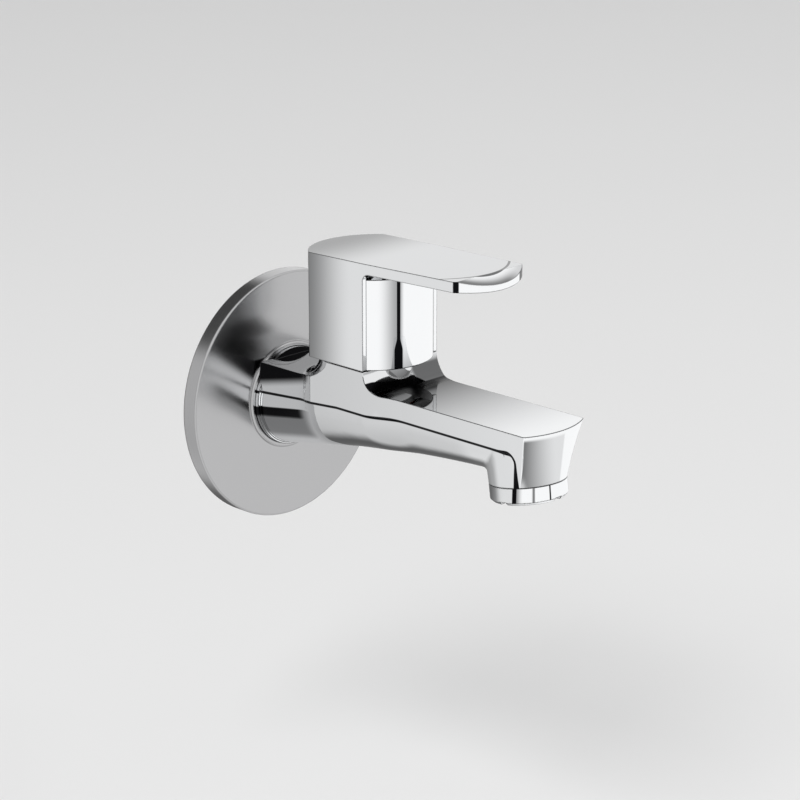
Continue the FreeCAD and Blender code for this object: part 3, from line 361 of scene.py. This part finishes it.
def handling_haze():
    """Where polish is dulled by handling and wiping, as slow clouds crossed by fine streaks."""
    def fill(tree, given, result):
        streak_squeeze, cloud_edges, haze_edges = 0.12, (0.35, 0.75), (0.05, 0.55)
        place = tree.place()
        clouds = tree.noise(place, given["Cloud scale"], detail=3.0)
        stretched = tree.add("ShaderNodeMapping")
        stretched.inputs["Scale"].default_value = (1.0, streak_squeeze, 1.0)
        tree.feed(place, stretched.inputs["Vector"])
        streaks = tree.noise(stretched.outputs[0], given["Streak scale"], detail=4.0, roughness=0.65)
        both = tree.product(tree.ranged(clouds, *cloud_edges), streaks)
        tree.feed(tree.ranged(both, *haze_edges), result["Haze"])

    return shared_group(
        "Handling haze",
        [("Cloud scale", "NodeSocketFloat", 40.0), ("Streak scale", "NodeSocketFloat", 900.0)],
        [("Haze", "NodeSocketFloat")],
        fill)


def fine_grain():
    """The fine texture of a moulded or cast skin, and slow blotches of tone."""
    def fill(tree, given, result):
        grains_per_blotch, blotch_edges = 25, (0.3, 0.7)
        place = tree.place()
        scale = tree.maths("DIVIDE", 1.0, given["Grain size"])
        grain = tree.noise(place, scale, detail=3.0, roughness=0.6)
        blotches = tree.noise(place, tree.product(scale, 1 / grains_per_blotch), detail=2.0)
        tree.feed(grain, result["Grain"])
        tree.feed(tree.ranged(blotches, *blotch_edges), result["Blotches"])

    return shared_group(
        "Fine grain",
        [("Grain size", "NodeSocketFloat", 0.2 * MM)],
        [("Grain", "NodeSocketFloat"), ("Blotches", "NodeSocketFloat")],
        fill)


def turning_marks():
    """Rings round the upright spindle axis, as a turning tool leaves them on faces and sides."""
    def fill(tree, given, result):
        centred = tree.add("ShaderNodeVectorMath", operation="SUBTRACT")
        tree.feed(tree.place(), centred.inputs[0])
        tree.feed(given["Centre"], centred.inputs[1])
        parts = tree.axes(centred.outputs[0])
        flat = tree.add("ShaderNodeCombineXYZ")
        for axis in "XY":
            tree.feed(parts[axis], flat.inputs[axis])
        length = tree.add("ShaderNodeVectorMath", operation="LENGTH")
        tree.feed(flat.outputs[0], length.inputs[0])
        along = tree.maths("ADD", length.outputs["Value"], parts["Z"])
        wobble = tree.product(tree.noise(tree.place(), scale=300.0), given["Pitch"])
        turns = tree.maths("DIVIDE", tree.maths("ADD", along, wobble), given["Pitch"])
        wave = tree.maths("SINE", tree.product(turns, 2 * math.pi))
        tree.feed(tree.ranged(wave, -1.0, 1.0), result["Marks"])

    return shared_group(
        "Turning marks",
        [("Centre", "NodeSocketVector", None), ("Pitch", "NodeSocketFloat", 0.25 * MM)],
        [("Marks", "NodeSocketFloat")],
        fill)


# Finishes

def new_finish(name, metallic=0.0, **fixed):
    """A material with its own surface shader, whose plain values are set on the shader itself."""
    finish = bpy.data.materials.new(name)
    finish.use_nodes = True
    tree = Tree(finish.node_tree)
    shader = finish.node_tree.nodes["Principled BSDF"]
    shader.inputs["Metallic"].default_value = metallic
    for label, value in fixed.items():
        shader.inputs[label.replace("_", " ")].default_value = value
    return finish, tree, shader


def bumped(tree, height, depth, normal=None):
    """The normal of a surface with a height on it."""
    bump = tree.add("ShaderNodeBump")
    bump.inputs["Distance"].default_value = depth
    tree.feed(height, bump.inputs["Height"])
    if normal is not None:
        tree.feed(normal, bump.inputs["Normal"])
    return bump.outputs["Normal"]


def chrome_finish(name, colour, shade=None, line=0.9, brushed=None, quiet=None):
    """Polished metal with painted dark lines along its crisp edges, slow polishing waves and a little haze.

    The dark edge lines are painted reflections, faint above the quiet level where one is given. Nearly black
    painted places are duller, so that they don't mirror a bright piece beside them.
    """
    look = bpy.context.scene.tap_chrome
    faint_line, line_fade, wave_scale = 0.2, 0.5, 55.0
    nearly_black, black_roughness = 0.92, 0.3
    finish, tree, shader = new_finish(name, metallic=1.0)
    edge = use_group(tree, edge_lines(), Width=look.edge_width)
    if quiet:
        line = tree.ranged(tree.millimetres()["Z"], quiet, quiet - line_fade, faint_line, line)
    haze = use_group(tree, handling_haze())
    waves = tree.noise(tree.place(), wave_scale, detail=1.0)
    # Painted reflection: the dark edge lines, and the piece's own painted reflections and shade, mix the
    # colour towards near black.
    dark = tree.product(edge["Edge"], line)
    if shade:
        dark = tree.largest(dark, shade(tree))
    smooth = brushed or look.gloss
    hazy = tree.between(haze["Haze"], smooth, smooth + look.haze - look.gloss)
    dull = tree.largest(hazy, tree.ranged(dark, nearly_black, 1.0, 0.0, black_roughness))
    tree.feed(tree.mixed(dark, colour, look.painted_dark_colour), shader.inputs["Base Color"])
    tree.feed(dull, shader.inputs["Roughness"])
    tree.feed(bumped(tree, waves, look.wave_depth, edge["Normal"]), shader.inputs["Normal"])
    return finish


# Painted reflections and shade on the chrome, in millimetres on each piece

def round_from(tree, across, away, middle, radii):
    """How far out a point lies, where 1 is an oval round a middle point."""
    sides = []
    for value, centre, radius in zip((across, away), middle, radii):
        side = tree.maths("DIVIDE", tree.maths("SUBTRACT", value, centre), radius)
        sides.append(tree.product(side, side))
    return tree.maths("ADD", *sides)


def painted_neck_reflection(tree, place, upward):
    """Painted reflections along the neck: dark under its top edge, in two bands round its side, and on its
    flat top.
    """
    y, z = place["Y"], place["Z"]
    flange_lip, edge_rise, band_rise = -10.7, 0.23, 0.14
    edge_fade, edge_end = (6.0, 9.0), (-30, -26)
    line_levels, line_end = (-4.6, -2.2, 0.0, 0.4), (-28, -22)
    tail_levels, tail_end, tail_strength = (-10.8, -7.8, 0.0, 0.4), (-31, -23), 0.65
    flat_levels, flat_strength = (12.3, 12.6, 12.9, 13.0), 0.5
    neck_end = (-38, -30)
    from_lip = tree.maths("SUBTRACT", y, flange_lip)
    sideways = tree.maths("SUBTRACT", 1.0, upward)
    rising = tree.maths("ADD", z, tree.product(from_lip, edge_rise))
    under_edge = tree.product(tree.ranged(rising, *edge_fade), sideways, tree.ranged(y, *edge_end))
    climbing = tree.maths("ADD", z, tree.product(from_lip, band_rise))
    line = tree.product(tree.band(climbing, *line_levels), tree.ranged(y, *line_end))
    tail = tree.product(tree.band(climbing, *tail_levels), tree.ranged(y, *tail_end), tail_strength)
    flat = tree.product(upward, tree.band(z, *flat_levels), flat_strength)
    return tree.product(tree.largest(under_edge, line, tail, flat), tree.ranged(y, *neck_end))


def painted_spout_reflection_and_shade(tree, place, slant, upward):
    """Painted reflection and shade at the drum's foot: black in front of its left half, and fading along the
    spout's top.
    """
    x, y, z = place["X"], place["Y"], place["Z"]
    middle, radii, lean, oval_fade = (-14.0, -56.0), (15.8, 15.5), 0.8, (1.04, 0.97)
    black_levels, left_rise = (12.9, 13.0, 14.8, 15.1), (-4, -13, 0.0, 1.3)
    drum_front, off_left_side = (-51, -51.6), (-0.9, -0.7)
    top_length, top_curve, top_level = (-111, -58), 1.3, (12.9, 13.0)
    bowl_right, bowl_levels, bowl_front, bowl_strength = (2, 5), (12.9, 13.0, 19.0, 19.3), (-60, -58), 0.86
    behind = tree.maths("MAXIMUM", tree.maths("SUBTRACT", y, middle[1]), 0.0)
    across = tree.maths("SUBTRACT", x, tree.product(behind, lean))
    oval = round_from(tree, across, tree.maths("MINIMUM", y, middle[1]), middle, radii)
    above = tree.maths("SUBTRACT", z, tree.ranged(x, *left_rise))
    ahead = tree.product(tree.ranged(y, *drum_front), tree.ranged(slant["X"], *off_left_side))
    black = tree.product(tree.ranged(oval, *oval_fade), tree.band(above, *black_levels), ahead)
    length = tree.maths("POWER", tree.sloped(y, *top_length), top_curve)
    grey = tree.product(upward, length, tree.ranged(z, *top_level))
    bowl = tree.product(tree.ranged(x, *bowl_right), tree.band(z, *bowl_levels), ahead)
    bowl = tree.product(bowl, tree.ranged(y, *bowl_front), bowl_strength)
    return tree.largest(black, grey, bowl)


def painted_outlet_reflection(tree, place, slant):
    """The soft painted reflection of dark on the left of the spout's front face, up to the bright stripe on
    its right.
    """
    x, y, z = place["X"], place["Y"], place["Z"]
    facing_front, outlet_back = (-0.5, -0.7), (-96, -98)
    top, left_edge, side_taper = 13.1, -12.3, 0.183
    soft_width, soft_curve, least, added = 9.5, 1.6, 0.22, 0.64
    stripe_edge, under_top = (1.4, 0.6), (0.7, 1.8)
    front = tree.product(tree.ranged(slant["Y"], *facing_front), tree.ranged(y, *outlet_back))
    below = tree.maths("SUBTRACT", top, z)
    from_edge = tree.maths("SUBTRACT", tree.maths("SUBTRACT", x, left_edge), tree.product(below, side_taper))
    left = tree.maths("POWER", tree.sloped(from_edge, soft_width, 0), soft_curve)
    dark = tree.maths("ADD", tree.product(left, added), least)
    return tree.product(dark, front, tree.ranged(x, *stripe_edge), tree.ranged(below, *under_top))


def painted_crease_reflection(tree, place, slant):
    """The deep painted reflection line along the side's crease, up from the flange and then down beside the
    spout's front.
    """
    y, z = place["Y"], place["Z"]
    low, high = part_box("spindle")
    column, column_level = (low + high).y / 2 / MM, 6.7
    flange, flange_level = -6.2, 3.9
    bend_radius, front = 2.6, -105.1
    line_fade, bend_start, bend_width, facing_aside = (0.52, 0.32), (-99, -103), 0.35, (0.4, 0.6)
    level = tree.sloped(y, flange, column, flange_level, column_level)
    above = tree.maths("ADD", tree.maths("SUBTRACT", z, level), bend_radius)
    ahead = tree.maths("SUBTRACT", front + bend_radius, y)
    squares = []
    for value in (above, ahead):
        value = tree.maths("MAXIMUM", value, 0.0)
        squares.append(tree.product(value, value))
    out = tree.maths("SQRT", tree.maths("ADD", *squares))
    apart = tree.maths("ABSOLUTE", tree.maths("SUBTRACT", out, bend_radius))
    apart = tree.maths("SUBTRACT", apart, tree.ranged(y, *bend_start, 0.0, bend_width))
    aside = tree.ranged(tree.maths("ABSOLUTE", slant["X"]), *facing_aside)
    return tree.product(tree.ranged(apart, *line_fade), aside)


def painted_flank_reflection(tree, place, upward):
    """Painted reflection: the slow darkening towards the column on the sides, and towards the belly's lowest
    line.
    """
    y, z = place["Y"], place["Z"]
    side_slope, belly_slope = (-30, -105, 0.22, 0.0), (6.7, -3, 0.1, 0.38)
    under_crease, belly_front, neck_end = (6.8, 6.6), (-92, -82), (-22, -32)
    along = tree.sloped(y, *side_slope)
    under = tree.product(tree.sloped(z, *belly_slope), tree.ranged(z, *under_crease))
    belly = tree.product(under, tree.ranged(y, *belly_front))
    sideways = tree.maths("SUBTRACT", 1.0, upward)
    return tree.product(tree.largest(along, belly), sideways, tree.ranged(y, *neck_end))


def painted_body_reflection(tree):
    """Painted reflections of what the body mirrors of its neighbours and of the dark beyond them, and
    painted shade at the drum's foot.
    """
    place = tree.millimetres()
    slant = tree.axes(tree.slant())
    facing_up, column_front = (0.85, 0.97), (-45, -50)
    upward = tree.ranged(slant["Z"], *facing_up)
    spout = tree.product(painted_spout_reflection_and_shade(tree, place, slant, upward), tree.ranged(place["Y"], *column_front))
    sides = tree.largest(painted_crease_reflection(tree, place, slant), painted_flank_reflection(tree, place, upward))
    return tree.largest(painted_neck_reflection(tree, place, upward), spout, painted_outlet_reflection(tree, place, slant), sides)


def painted_lever_reflection(tree):
    """Painted reflections on the lever: dark round the skirt's back and the top's, on the tip's facet and
    its edge, and at its corners.
    """
    place = tree.millimetres()
    slant = tree.axes(tree.slant())
    x, y = place["X"], place["Y"]
    facing_aside, facing_up, facing_front = (0.8, 0.6), (0.955, 0.985), (-0.3, -0.5)
    steep = tree.ranged(slant["Z"], *facing_aside)
    level = tree.ranged(slant["Z"], *facing_up)
    front = tree.ranged(slant["Y"], *facing_front)

    skirt_length, skirt_strength, straight_back = (-47.5, -27), 0.75, (0.75, 0.95, 1.0, 0.3)
    top_length = (-52, -25, 0.25, 0.78)
    behind = tree.ranged(slant["Y"], *straight_back)
    skirt = tree.product(tree.ranged(y, *skirt_length), steep, behind, skirt_strength)
    top = tree.product(tree.ranged(y, *top_length), level)

    tip_front, tip_bow, facet_back = 90.3, 0.031, (-84, -85)
    tip_depth, tip_right, tip_strength = (3.7, 0.0), (10, 2, 0.35, 1.0), 0.8
    facet_edge_band, facing_nearly_up, facet_edge_strength = (3.7, 3.9, 4.6, 4.9), (0.8, 0.9), 0.85
    # Painted reflection: a grey gradient on the tip's facet, and a dark line along the facet's edge.
    inward = tree.maths("ADD", tree.maths("SUBTRACT", tip_front, tree.product(x, x, tip_bow)), y)
    sloping = tree.maths("SUBTRACT", 1.0, tree.maths("MAXIMUM", level, steep))
    facet = tree.product(sloping, tree.ranged(y, *facet_back))
    tip = tree.product(facet, tree.ranged(inward, *tip_depth), tree.ranged(x, *tip_right), tip_strength)
    nearly_up = tree.ranged(slant["Z"], *facing_nearly_up)
    facet_edge_line = tree.product(tree.band(inward, *facet_edge_band), nearly_up, facet_edge_strength)

    left_corner, right_corner, corner_back = (-12.6, -12.8), (9.0, 9.2), (-80, -84)
    corners = []
    for corner in (left_corner, right_corner):
        corners.append(tree.product(front, tree.ranged(x, *corner), tree.ranged(y, *corner_back), steep))
    return tree.largest(skirt, top, tip, facet_edge_line, *corners)


def painted_drum_reflection_and_shade(tree):
    """The drum's painted reflections, one black stripe with its soft grey side, and painted shade on its
    open underside.
    """
    place = tree.millimetres()
    slant = tree.axes(tree.slant())
    x, z = place["X"], place["Z"]
    stripe_middle, upper_half, lower_half, widening = -6.0, 0.5, 1.2, (29, 25)
    stripe_edge, facing_front, facing_down = (0.15, -0.05), -0.2, -0.8
    cloud_band, cloud_strength = (-11.5, -6.3, -5.8, -4.2), 0.6
    right_band, right_strength = (9.8, 10.6, 11.6, 12.4), 0.5
    front = tree.maths("LESS_THAN", slant["Y"], facing_front)
    aside = tree.maths("ABSOLUTE", tree.maths("SUBTRACT", x, stripe_middle))
    half = tree.between(tree.ranged(z, *widening), upper_half, lower_half)
    stripe = tree.product(tree.ranged(tree.maths("SUBTRACT", aside, half), *stripe_edge), front)
    cloud = tree.product(tree.band(x, *cloud_band), front, cloud_strength)
    right = tree.product(tree.band(x, *right_band), front, right_strength)
    # Painted shade: faces looking down are painted black.
    underside = tree.maths("LESS_THAN", slant["Z"], facing_down)
    return tree.largest(stripe, cloud, right, underside)


def painted_rim_reflection(tree):
    """The upright dark stripes of painted reflection on the aerator's rim, by degrees round it from the
    front.
    """
    place = tree.millimetres()
    low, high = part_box("aerator_rim")
    middle = (low + high) / 2 / MM
    black_band, soft_band, soft_strength = (-73, -72, -66, -65), (-70, -68, -66, -56), 0.6
    streak_band, streak_strength = (-44, -41, -40, -38), 0.8
    thin_band, left_fade, left_strength = (-16.8, -15.8, -14.2, -13.2), (-85, -130), 0.8
    most_tilt = 0.5
    ahead = tree.maths("SUBTRACT", middle.y, place["Y"])
    turn = tree.maths("DEGREES", tree.maths("ARCTAN2", place["X"], ahead))
    soft = tree.product(tree.band(turn, *soft_band), soft_strength)
    black = tree.largest(tree.band(turn, *black_band), soft)
    streak = tree.product(tree.band(turn, *streak_band), streak_strength)
    thin = tree.band(turn, *thin_band)
    left = tree.ranged(turn, *left_fade, 0.0, left_strength)
    tilt = tree.maths("ABSOLUTE", tree.axes(tree.slant())["Z"])
    upright = tree.maths("LESS_THAN", tilt, most_tilt)
    return tree.product(tree.largest(black, streak, thin, left), upright)


# Finishes of the inner pieces

def brass_finish():
    """Turned brass: bright marks of the tool, and darker blotches where it has tarnished."""
    look = bpy.context.scene.tap_metals
    finish, tree, shader = new_finish("turned_brass", metallic=1.0)
    low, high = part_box("cartridge_housing")
    centre = (low + high) / 2
    centre.z = 0
    marks = use_group(tree, turning_marks(), Centre=centre, Pitch=look.turning_pitch)
    grain = use_group(tree, fine_grain())
    ridges, grooves = 0.22, 0.38
    colour = tree.mixed(grain["Blotches"], look.brass_colour, look.tarnish_colour)
    tree.feed(colour, shader.inputs["Base Color"])
    tree.feed(tree.between(marks["Marks"], ridges, grooves), shader.inputs["Roughness"])
    tree.feed(bumped(tree, marks["Marks"], look.turning_depth), shader.inputs["Normal"])
    return finish


def steel_finish():
    """Spring steel drawn through a die, with fine grain and a faint dull cloud."""
    look = bpy.context.scene.tap_metals
    finish, tree, shader = new_finish("spring_steel_wire", metallic=1.0)
    haze = use_group(tree, handling_haze(), Cloud_scale=200.0, Streak_scale=2500.0)
    bright, dull, streak_depth = 0.22, 0.42, 0.004 * MM
    colour = tree.mixed(haze["Haze"], look.steel_colour, dimmed(look.steel_colour, 0.7))
    tree.feed(colour, shader.inputs["Base Color"])
    tree.feed(tree.between(haze["Haze"], bright, dull), shader.inputs["Roughness"])
    tree.feed(bumped(tree, haze["Haze"], streak_depth), shader.inputs["Normal"])
    return finish


def moulded_finish(name, colour, roughness, grain_size, grain_depth, contrast, **fixed):
    """A moulded or pressed skin: fine grain, and blotches darker by the contrast, or paler below 0."""
    finish, tree, shader = new_finish(name, **fixed)
    grain = use_group(tree, fine_grain(), Grain_size=grain_size)
    spread = 0.08
    rough = tree.between(grain["Grain"], roughness - spread, roughness + spread)
    blotched = tree.mixed(grain["Blotches"], colour, dimmed(colour, 1 - contrast))
    tree.feed(blotched, shader.inputs["Base Color"])
    tree.feed(rough, shader.inputs["Roughness"])
    tree.feed(bumped(tree, grain["Grain"], grain_depth), shader.inputs["Normal"])
    return finish


def rubber_finish():
    """Black seal rubber with a dusty bloom."""
    look = bpy.context.scene.tap_soft_parts
    return moulded_finish("black_seal_rubber", look.rubber_colour, 0.62, look.grain_size,
                          look.grain_depth, contrast=-0.6)


def ceramic_finish():
    """Fired ceramic, ground smooth, with a faint speckle."""
    look = bpy.context.scene.tap_soft_parts
    return moulded_finish("ground_ceramic", look.ceramic_colour, 0.2, look.grain_size / 2,
                          look.grain_depth / 8, contrast=0.06, Coat_Weight=0.2)


def fibre_finish():
    """Pressed red fibre."""
    look = bpy.context.scene.tap_soft_parts
    return moulded_finish("pressed_red_fibre", look.fibre_colour, 0.75, look.grain_size * 1.5,
                          look.grain_depth * 3, contrast=0.35)


def slip_finish():
    """Slippery white plastic."""
    look = bpy.context.scene.tap_soft_parts
    return moulded_finish("white_slippery_plastic", look.slip_colour, 0.4, look.grain_size,
                          look.grain_depth, contrast=0.05)


def grey_finish():
    """Grey moulded plastic."""
    look = bpy.context.scene.tap_soft_parts
    return moulded_finish("grey_moulded_plastic", look.grey_colour, 0.45, look.grain_size,
                          look.grain_depth, contrast=0.1)


def dress(finish, *names):
    """Gives CAD nodes a finish in place of the one they came with."""
    for name in names:
        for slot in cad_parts[name].material_slots:
            slot.material = finish


# One operator for each piece or group of like pieces

class TAP_OT_castings(bpy.types.Operator):
    """Chrome the body, lever, drum and aerator rim with painted reflections and shade, and brush the flange
    with faint painted edge lines
    """
    bl_idname = "tap.castings"
    bl_label = "Chrome Castings"

    def execute(self, context):
        look = context.scene.tap_chrome
        plate = look.plate_colour
        dress(chrome_finish("chrome_rim", plate, painted_rim_reflection), "aerator_rim")
        dress(chrome_finish("chrome_lever", plate, painted_lever_reflection, line=0.7), "lever_handle")
        dress(chrome_finish("chrome_body", plate, painted_body_reflection, quiet=18.5), "tap_body")
        dress(chrome_finish("chrome_drum", plate, painted_drum_reflection_and_shade), "lever_insert")
        flange = chrome_finish("steel_flange", look.flange_colour, line=0.2, brushed=look.flange_roughness)
        dress(flange, "wall_flange")
        return {"FINISHED"}


class TAP_OT_headwork(bpy.types.Operator):
    """Finish the brass headwork, its discs and washer, and the steel clip, screw and screen"""
    bl_idname = "tap.headwork"
    bl_label = "Headwork"

    def execute(self, context):
        dress(brass_finish(), "cartridge_housing", "spindle")
        dress(ceramic_finish(), "fixed_disc", "moving_disc")
        dress(fibre_finish(), "shoulder_washer")
        dress(steel_finish(), "retaining_clip", "lever_screw", "aerator_screen")
        return {"FINISHED"}


class TAP_OT_soft_parts(bpy.types.Operator):
    """Finish the seals and the plastic mouldings"""
    bl_idname = "tap.soft_parts"
    bl_label = "Seals and Mouldings"

    def execute(self, context):
        dress(rubber_finish(), "flange_grip_ring", "base_seal", "spindle_seal_rings", "aerator_washer")
        dress(slip_finish(), "thrust_washer", "aerator_core")
        dress(grey_finish(), "spline_adapter", "screw_cap", "aerator_grid")
        return {"FINISHED"}


def facing(azimuth, elevation):
    """The rightward and upward directions at a place round the tap, and the one from the tap to it."""
    turn, lift = math.radians(azimuth), math.radians(elevation)
    back = Vector((math.sin(turn) * math.cos(lift), -math.cos(turn) * math.cos(lift), math.sin(lift)))
    right = Vector((math.cos(turn), math.sin(turn), 0))
    return right, back.cross(right), back


def add_mesh(name, mesh, finish):
    """A new object that holds a finished mesh."""
    data = bpy.data.meshes.new(name)
    mesh.to_mesh(data)
    mesh.free()
    data.materials.append(finish)
    made = bpy.data.objects.new(name, data)
    bpy.context.scene.collection.objects.link(made)
    return made


def floor_finish():
    """A plain pale floor with hardly any tone of its own."""
    look = bpy.context.scene.tap_studio
    finish, tree, shader = new_finish("pale_floor", Roughness=0.6)
    blotches = tree.noise(tree.place(), scale=3.0)
    darker = dimmed(look.floor_colour, 0.985)
    tree.feed(tree.mixed(blotches, look.floor_colour, darker), shader.inputs["Base Color"])
    return finish


def add_floor():
    """The floor, level and well under the tap."""
    look = bpy.context.scene.tap_studio
    mesh = bmesh.new()
    bmesh.ops.create_grid(mesh, x_segments=8, y_segments=8, size=look.floor_side / 2)
    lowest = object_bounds()[0].z
    bmesh.ops.translate(mesh, vec=(0, 0, lowest - look.floor_drop), verts=mesh.verts)
    floor = add_mesh("studio_floor", mesh, floor_finish())
    floor.visible_glossy = False
    floor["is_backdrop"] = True


def add_lamp(name, power, azimuth, elevation, distance, side):
    """A large soft lamp that looks at the tap."""
    lamp = bpy.data.lights.new(name, "AREA")
    lamp.energy = power
    lamp.shape = "SQUARE"
    lamp.size = side
    holder = bpy.data.objects.new(name, lamp)
    bpy.context.scene.collection.objects.link(holder)
    right, up, back = facing(azimuth, elevation)
    low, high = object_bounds()
    holder.matrix_world = Matrix((right, up, back)).transposed().to_4x4()
    holder.location = (low + high) / 2 + back * distance
    holder.visible_glossy = False


def studio_card():
    """How far a direction falls on a card that stands round the tap, from 0 to 1, by angles in degrees."""
    def fill(tree, given, result):
        masks, half_turn = [], 180.0
        ways = (("Turn", "Card turn", "Half width"), ("Lift", "Card lift", "Half height"))
        for angle, centre, half in ways:
            apart = tree.maths("SUBTRACT", given[angle], given[centre])
            wrapped = tree.add("ShaderNodeMath", operation="WRAP")
            tree.feed(apart, wrapped.inputs[0])
            wrapped.inputs[1].default_value = half_turn
            wrapped.inputs[2].default_value = -half_turn
            apart = tree.maths("ABSOLUTE", wrapped.outputs[0])
            edge = tree.maths("ADD", given[half], given["Softness"])
            masks.append(tree.ranged(apart, given[half], edge, 1.0, 0.0))
        tree.feed(tree.product(*masks), result["Card"])

    names = ("Turn", "Lift", "Card turn", "Card lift", "Half width", "Half height", "Softness")
    return shared_group("Studio card", [(name, "NodeSocketFloat", 1.0) for name in names],
                        [("Card", "NodeSocketFloat")], fill)


def reflected_room(tree):
    """The pale room that the chrome sees, with its large white cloths and dark cards."""
    direction = tree.axes(tree.add("ShaderNodeTexCoord").outputs["Generated"])
    front = tree.product(direction["Y"], -1.0)
    turn = tree.maths("DEGREES", tree.maths("ARCTAN2", direction["X"], front))
    lift = tree.maths("DEGREES", tree.maths("ARCSINE", direction["Z"]))
    tone = bpy.context.scene.tap_studio.reflected_tone

    def card(tone, level, azimuth, elevation, half_width, half_height, softness):
        mask = use_group(tree, studio_card(), Turn=turn, Lift=lift, Card_turn=azimuth, Card_lift=elevation,
                         Half_width=half_width, Half_height=half_height, Softness=softness)
        return tree.between(mask["Card"], tone, level)

    tone = card(tone, 1.0, azimuth=20, elevation=0, half_width=95, half_height=65, softness=14)
    tone = card(tone, 0.95, azimuth=128, elevation=28, half_width=38, half_height=24, softness=10)
    tone = card(tone, 0.15, azimuth=150, elevation=-40, half_width=5, half_height=8, softness=38)
    tone = card(tone, 0.3, azimuth=180, elevation=-8, half_width=12, half_height=6, softness=32)
    tone = card(tone, 0.08, azimuth=185, elevation=48, half_width=30, half_height=16, softness=14)
    return tone


def add_room():
    """The room's light from all round, and the pale room that the camera and the chrome see."""
    look = bpy.context.scene.tap_studio
    world = bpy.data.worlds.new("studio_room")
    world.use_nodes = True
    world.node_tree.nodes.clear()
    tree = Tree(world.node_tree)
    light = tree.add("ShaderNodeBackground")
    light.inputs["Color"].default_value = (1, 1, 1, 1)
    light.inputs["Strength"].default_value = look.ambient
    seen = tree.add("ShaderNodeBackground")
    seen.inputs["Color"].default_value = opaque(look.room_colour)
    mirrored = tree.add("ShaderNodeBackground")
    tree.feed(reflected_room(tree), mirrored.inputs["Color"])
    rays = tree.add("ShaderNodeLightPath")
    direct = tree.maths("MAXIMUM", rays.outputs["Is Camera Ray"], rays.outputs["Is Transmission Ray"])
    plain = tree.add("ShaderNodeMixShader")
    tree.feed(direct, plain.inputs[0])
    tree.feed(light.outputs[0], plain.inputs[1])
    tree.feed(seen.outputs[0], plain.inputs[2])
    mix = tree.add("ShaderNodeMixShader")
    tree.feed(rays.outputs["Is Glossy Ray"], mix.inputs[0])
    tree.feed(plain.outputs[0], mix.inputs[1])
    tree.feed(mirrored.outputs[0], mix.inputs[2])
    tree.feed(mix.outputs[0], tree.add("ShaderNodeOutputWorld").inputs["Surface"])
    bpy.context.scene.world = world


class TAP_OT_studio(bpy.types.Operator):
    """Build the floor, the room, the lamps and the cards"""
    bl_idname = "tap.studio"
    bl_label = "Studio"

    def execute(self, context):
        look = context.scene.tap_studio
        context.scene.view_settings.view_transform = "Standard"
        add_floor()
        add_room()
        add_lamp("main_lamp", look.key_power, azimuth=-75, elevation=50, distance=2.5, side=1.2)
        add_lamp("second_lamp", look.fill_power, azimuth=40, elevation=35, distance=2.5, side=1.2)
        return {"FINISHED"}


class TAP_OT_camera(bpy.types.Operator):
    """Put the camera where the photograph was taken from"""
    bl_idname = "tap.camera"
    bl_label = "Camera"

    def execute(self, context):
        look = context.scene.tap_camera
        lens = bpy.data.cameras.new("photo_camera")
        lens.lens = look.focal_pixels * lens.sensor_width / look.picture_pixels
        lens.clip_start = 0.05
        holder = bpy.data.objects.new("photo_camera", lens)
        context.scene.collection.objects.link(holder)
        right, up, back = facing(math.degrees(look.azimuth), math.degrees(look.elevation))
        holder.matrix_world = Matrix((right, up, back)).transposed().to_4x4()
        holder.location = right * look.aside + up * look.above + back * look.distance
        context.scene.camera = holder
        return {"FINISHED"}


OPERATORS = (TAP_OT_castings, TAP_OT_headwork, TAP_OT_soft_parts, TAP_OT_studio, TAP_OT_camera)
SETTINGS = {
    "tap_chrome": ChromeSettings,
    "tap_metals": MetalSettings,
    "tap_soft_parts": SoftPartSettings,
    "tap_studio": StudioSettings,
    "tap_camera": CameraSettings,
}


class TAP_PT_panel(bpy.types.Panel):
    """The tap's tools and settings in the sidebar."""
    bl_idname = "TAP_PT_panel"
    bl_label = "Bib Tap"
    bl_space_type = "VIEW_3D"
    bl_region_type = "UI"
    bl_category = "Bib Tap"

    def draw(self, context):
        for operator in OPERATORS:
            self.layout.operator(operator.bl_idname)
        for name, settings in SETTINGS.items():
            group = getattr(context.scene, name)
            box = self.layout.box()
            for setting in settings.__annotations__:
                box.prop(group, setting)


CLASSES = (*SETTINGS.values(), *OPERATORS, TAP_PT_panel)


def register():
    """Makes the operators, panel and settings known."""
    for kind in CLASSES:
        bpy.utils.register_class(kind)
    for name, settings in SETTINGS.items():
        setattr(bpy.types.Scene, name, PointerProperty(type=settings))


def unregister():
    """Takes the operators, panel and settings away again."""
    for name in SETTINGS:
        delattr(bpy.types.Scene, name)
    for kind in reversed(CLASSES):
        bpy.utils.unregister_class(kind)


def main():
    """Runs every operator in order."""
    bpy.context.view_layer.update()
    register()
    bpy.ops.tap.castings()
    bpy.ops.tap.headwork()
    bpy.ops.tap.soft_parts()
    bpy.ops.tap.studio()
    bpy.ops.tap.camera()


if __name__ == "__main__":
    main()
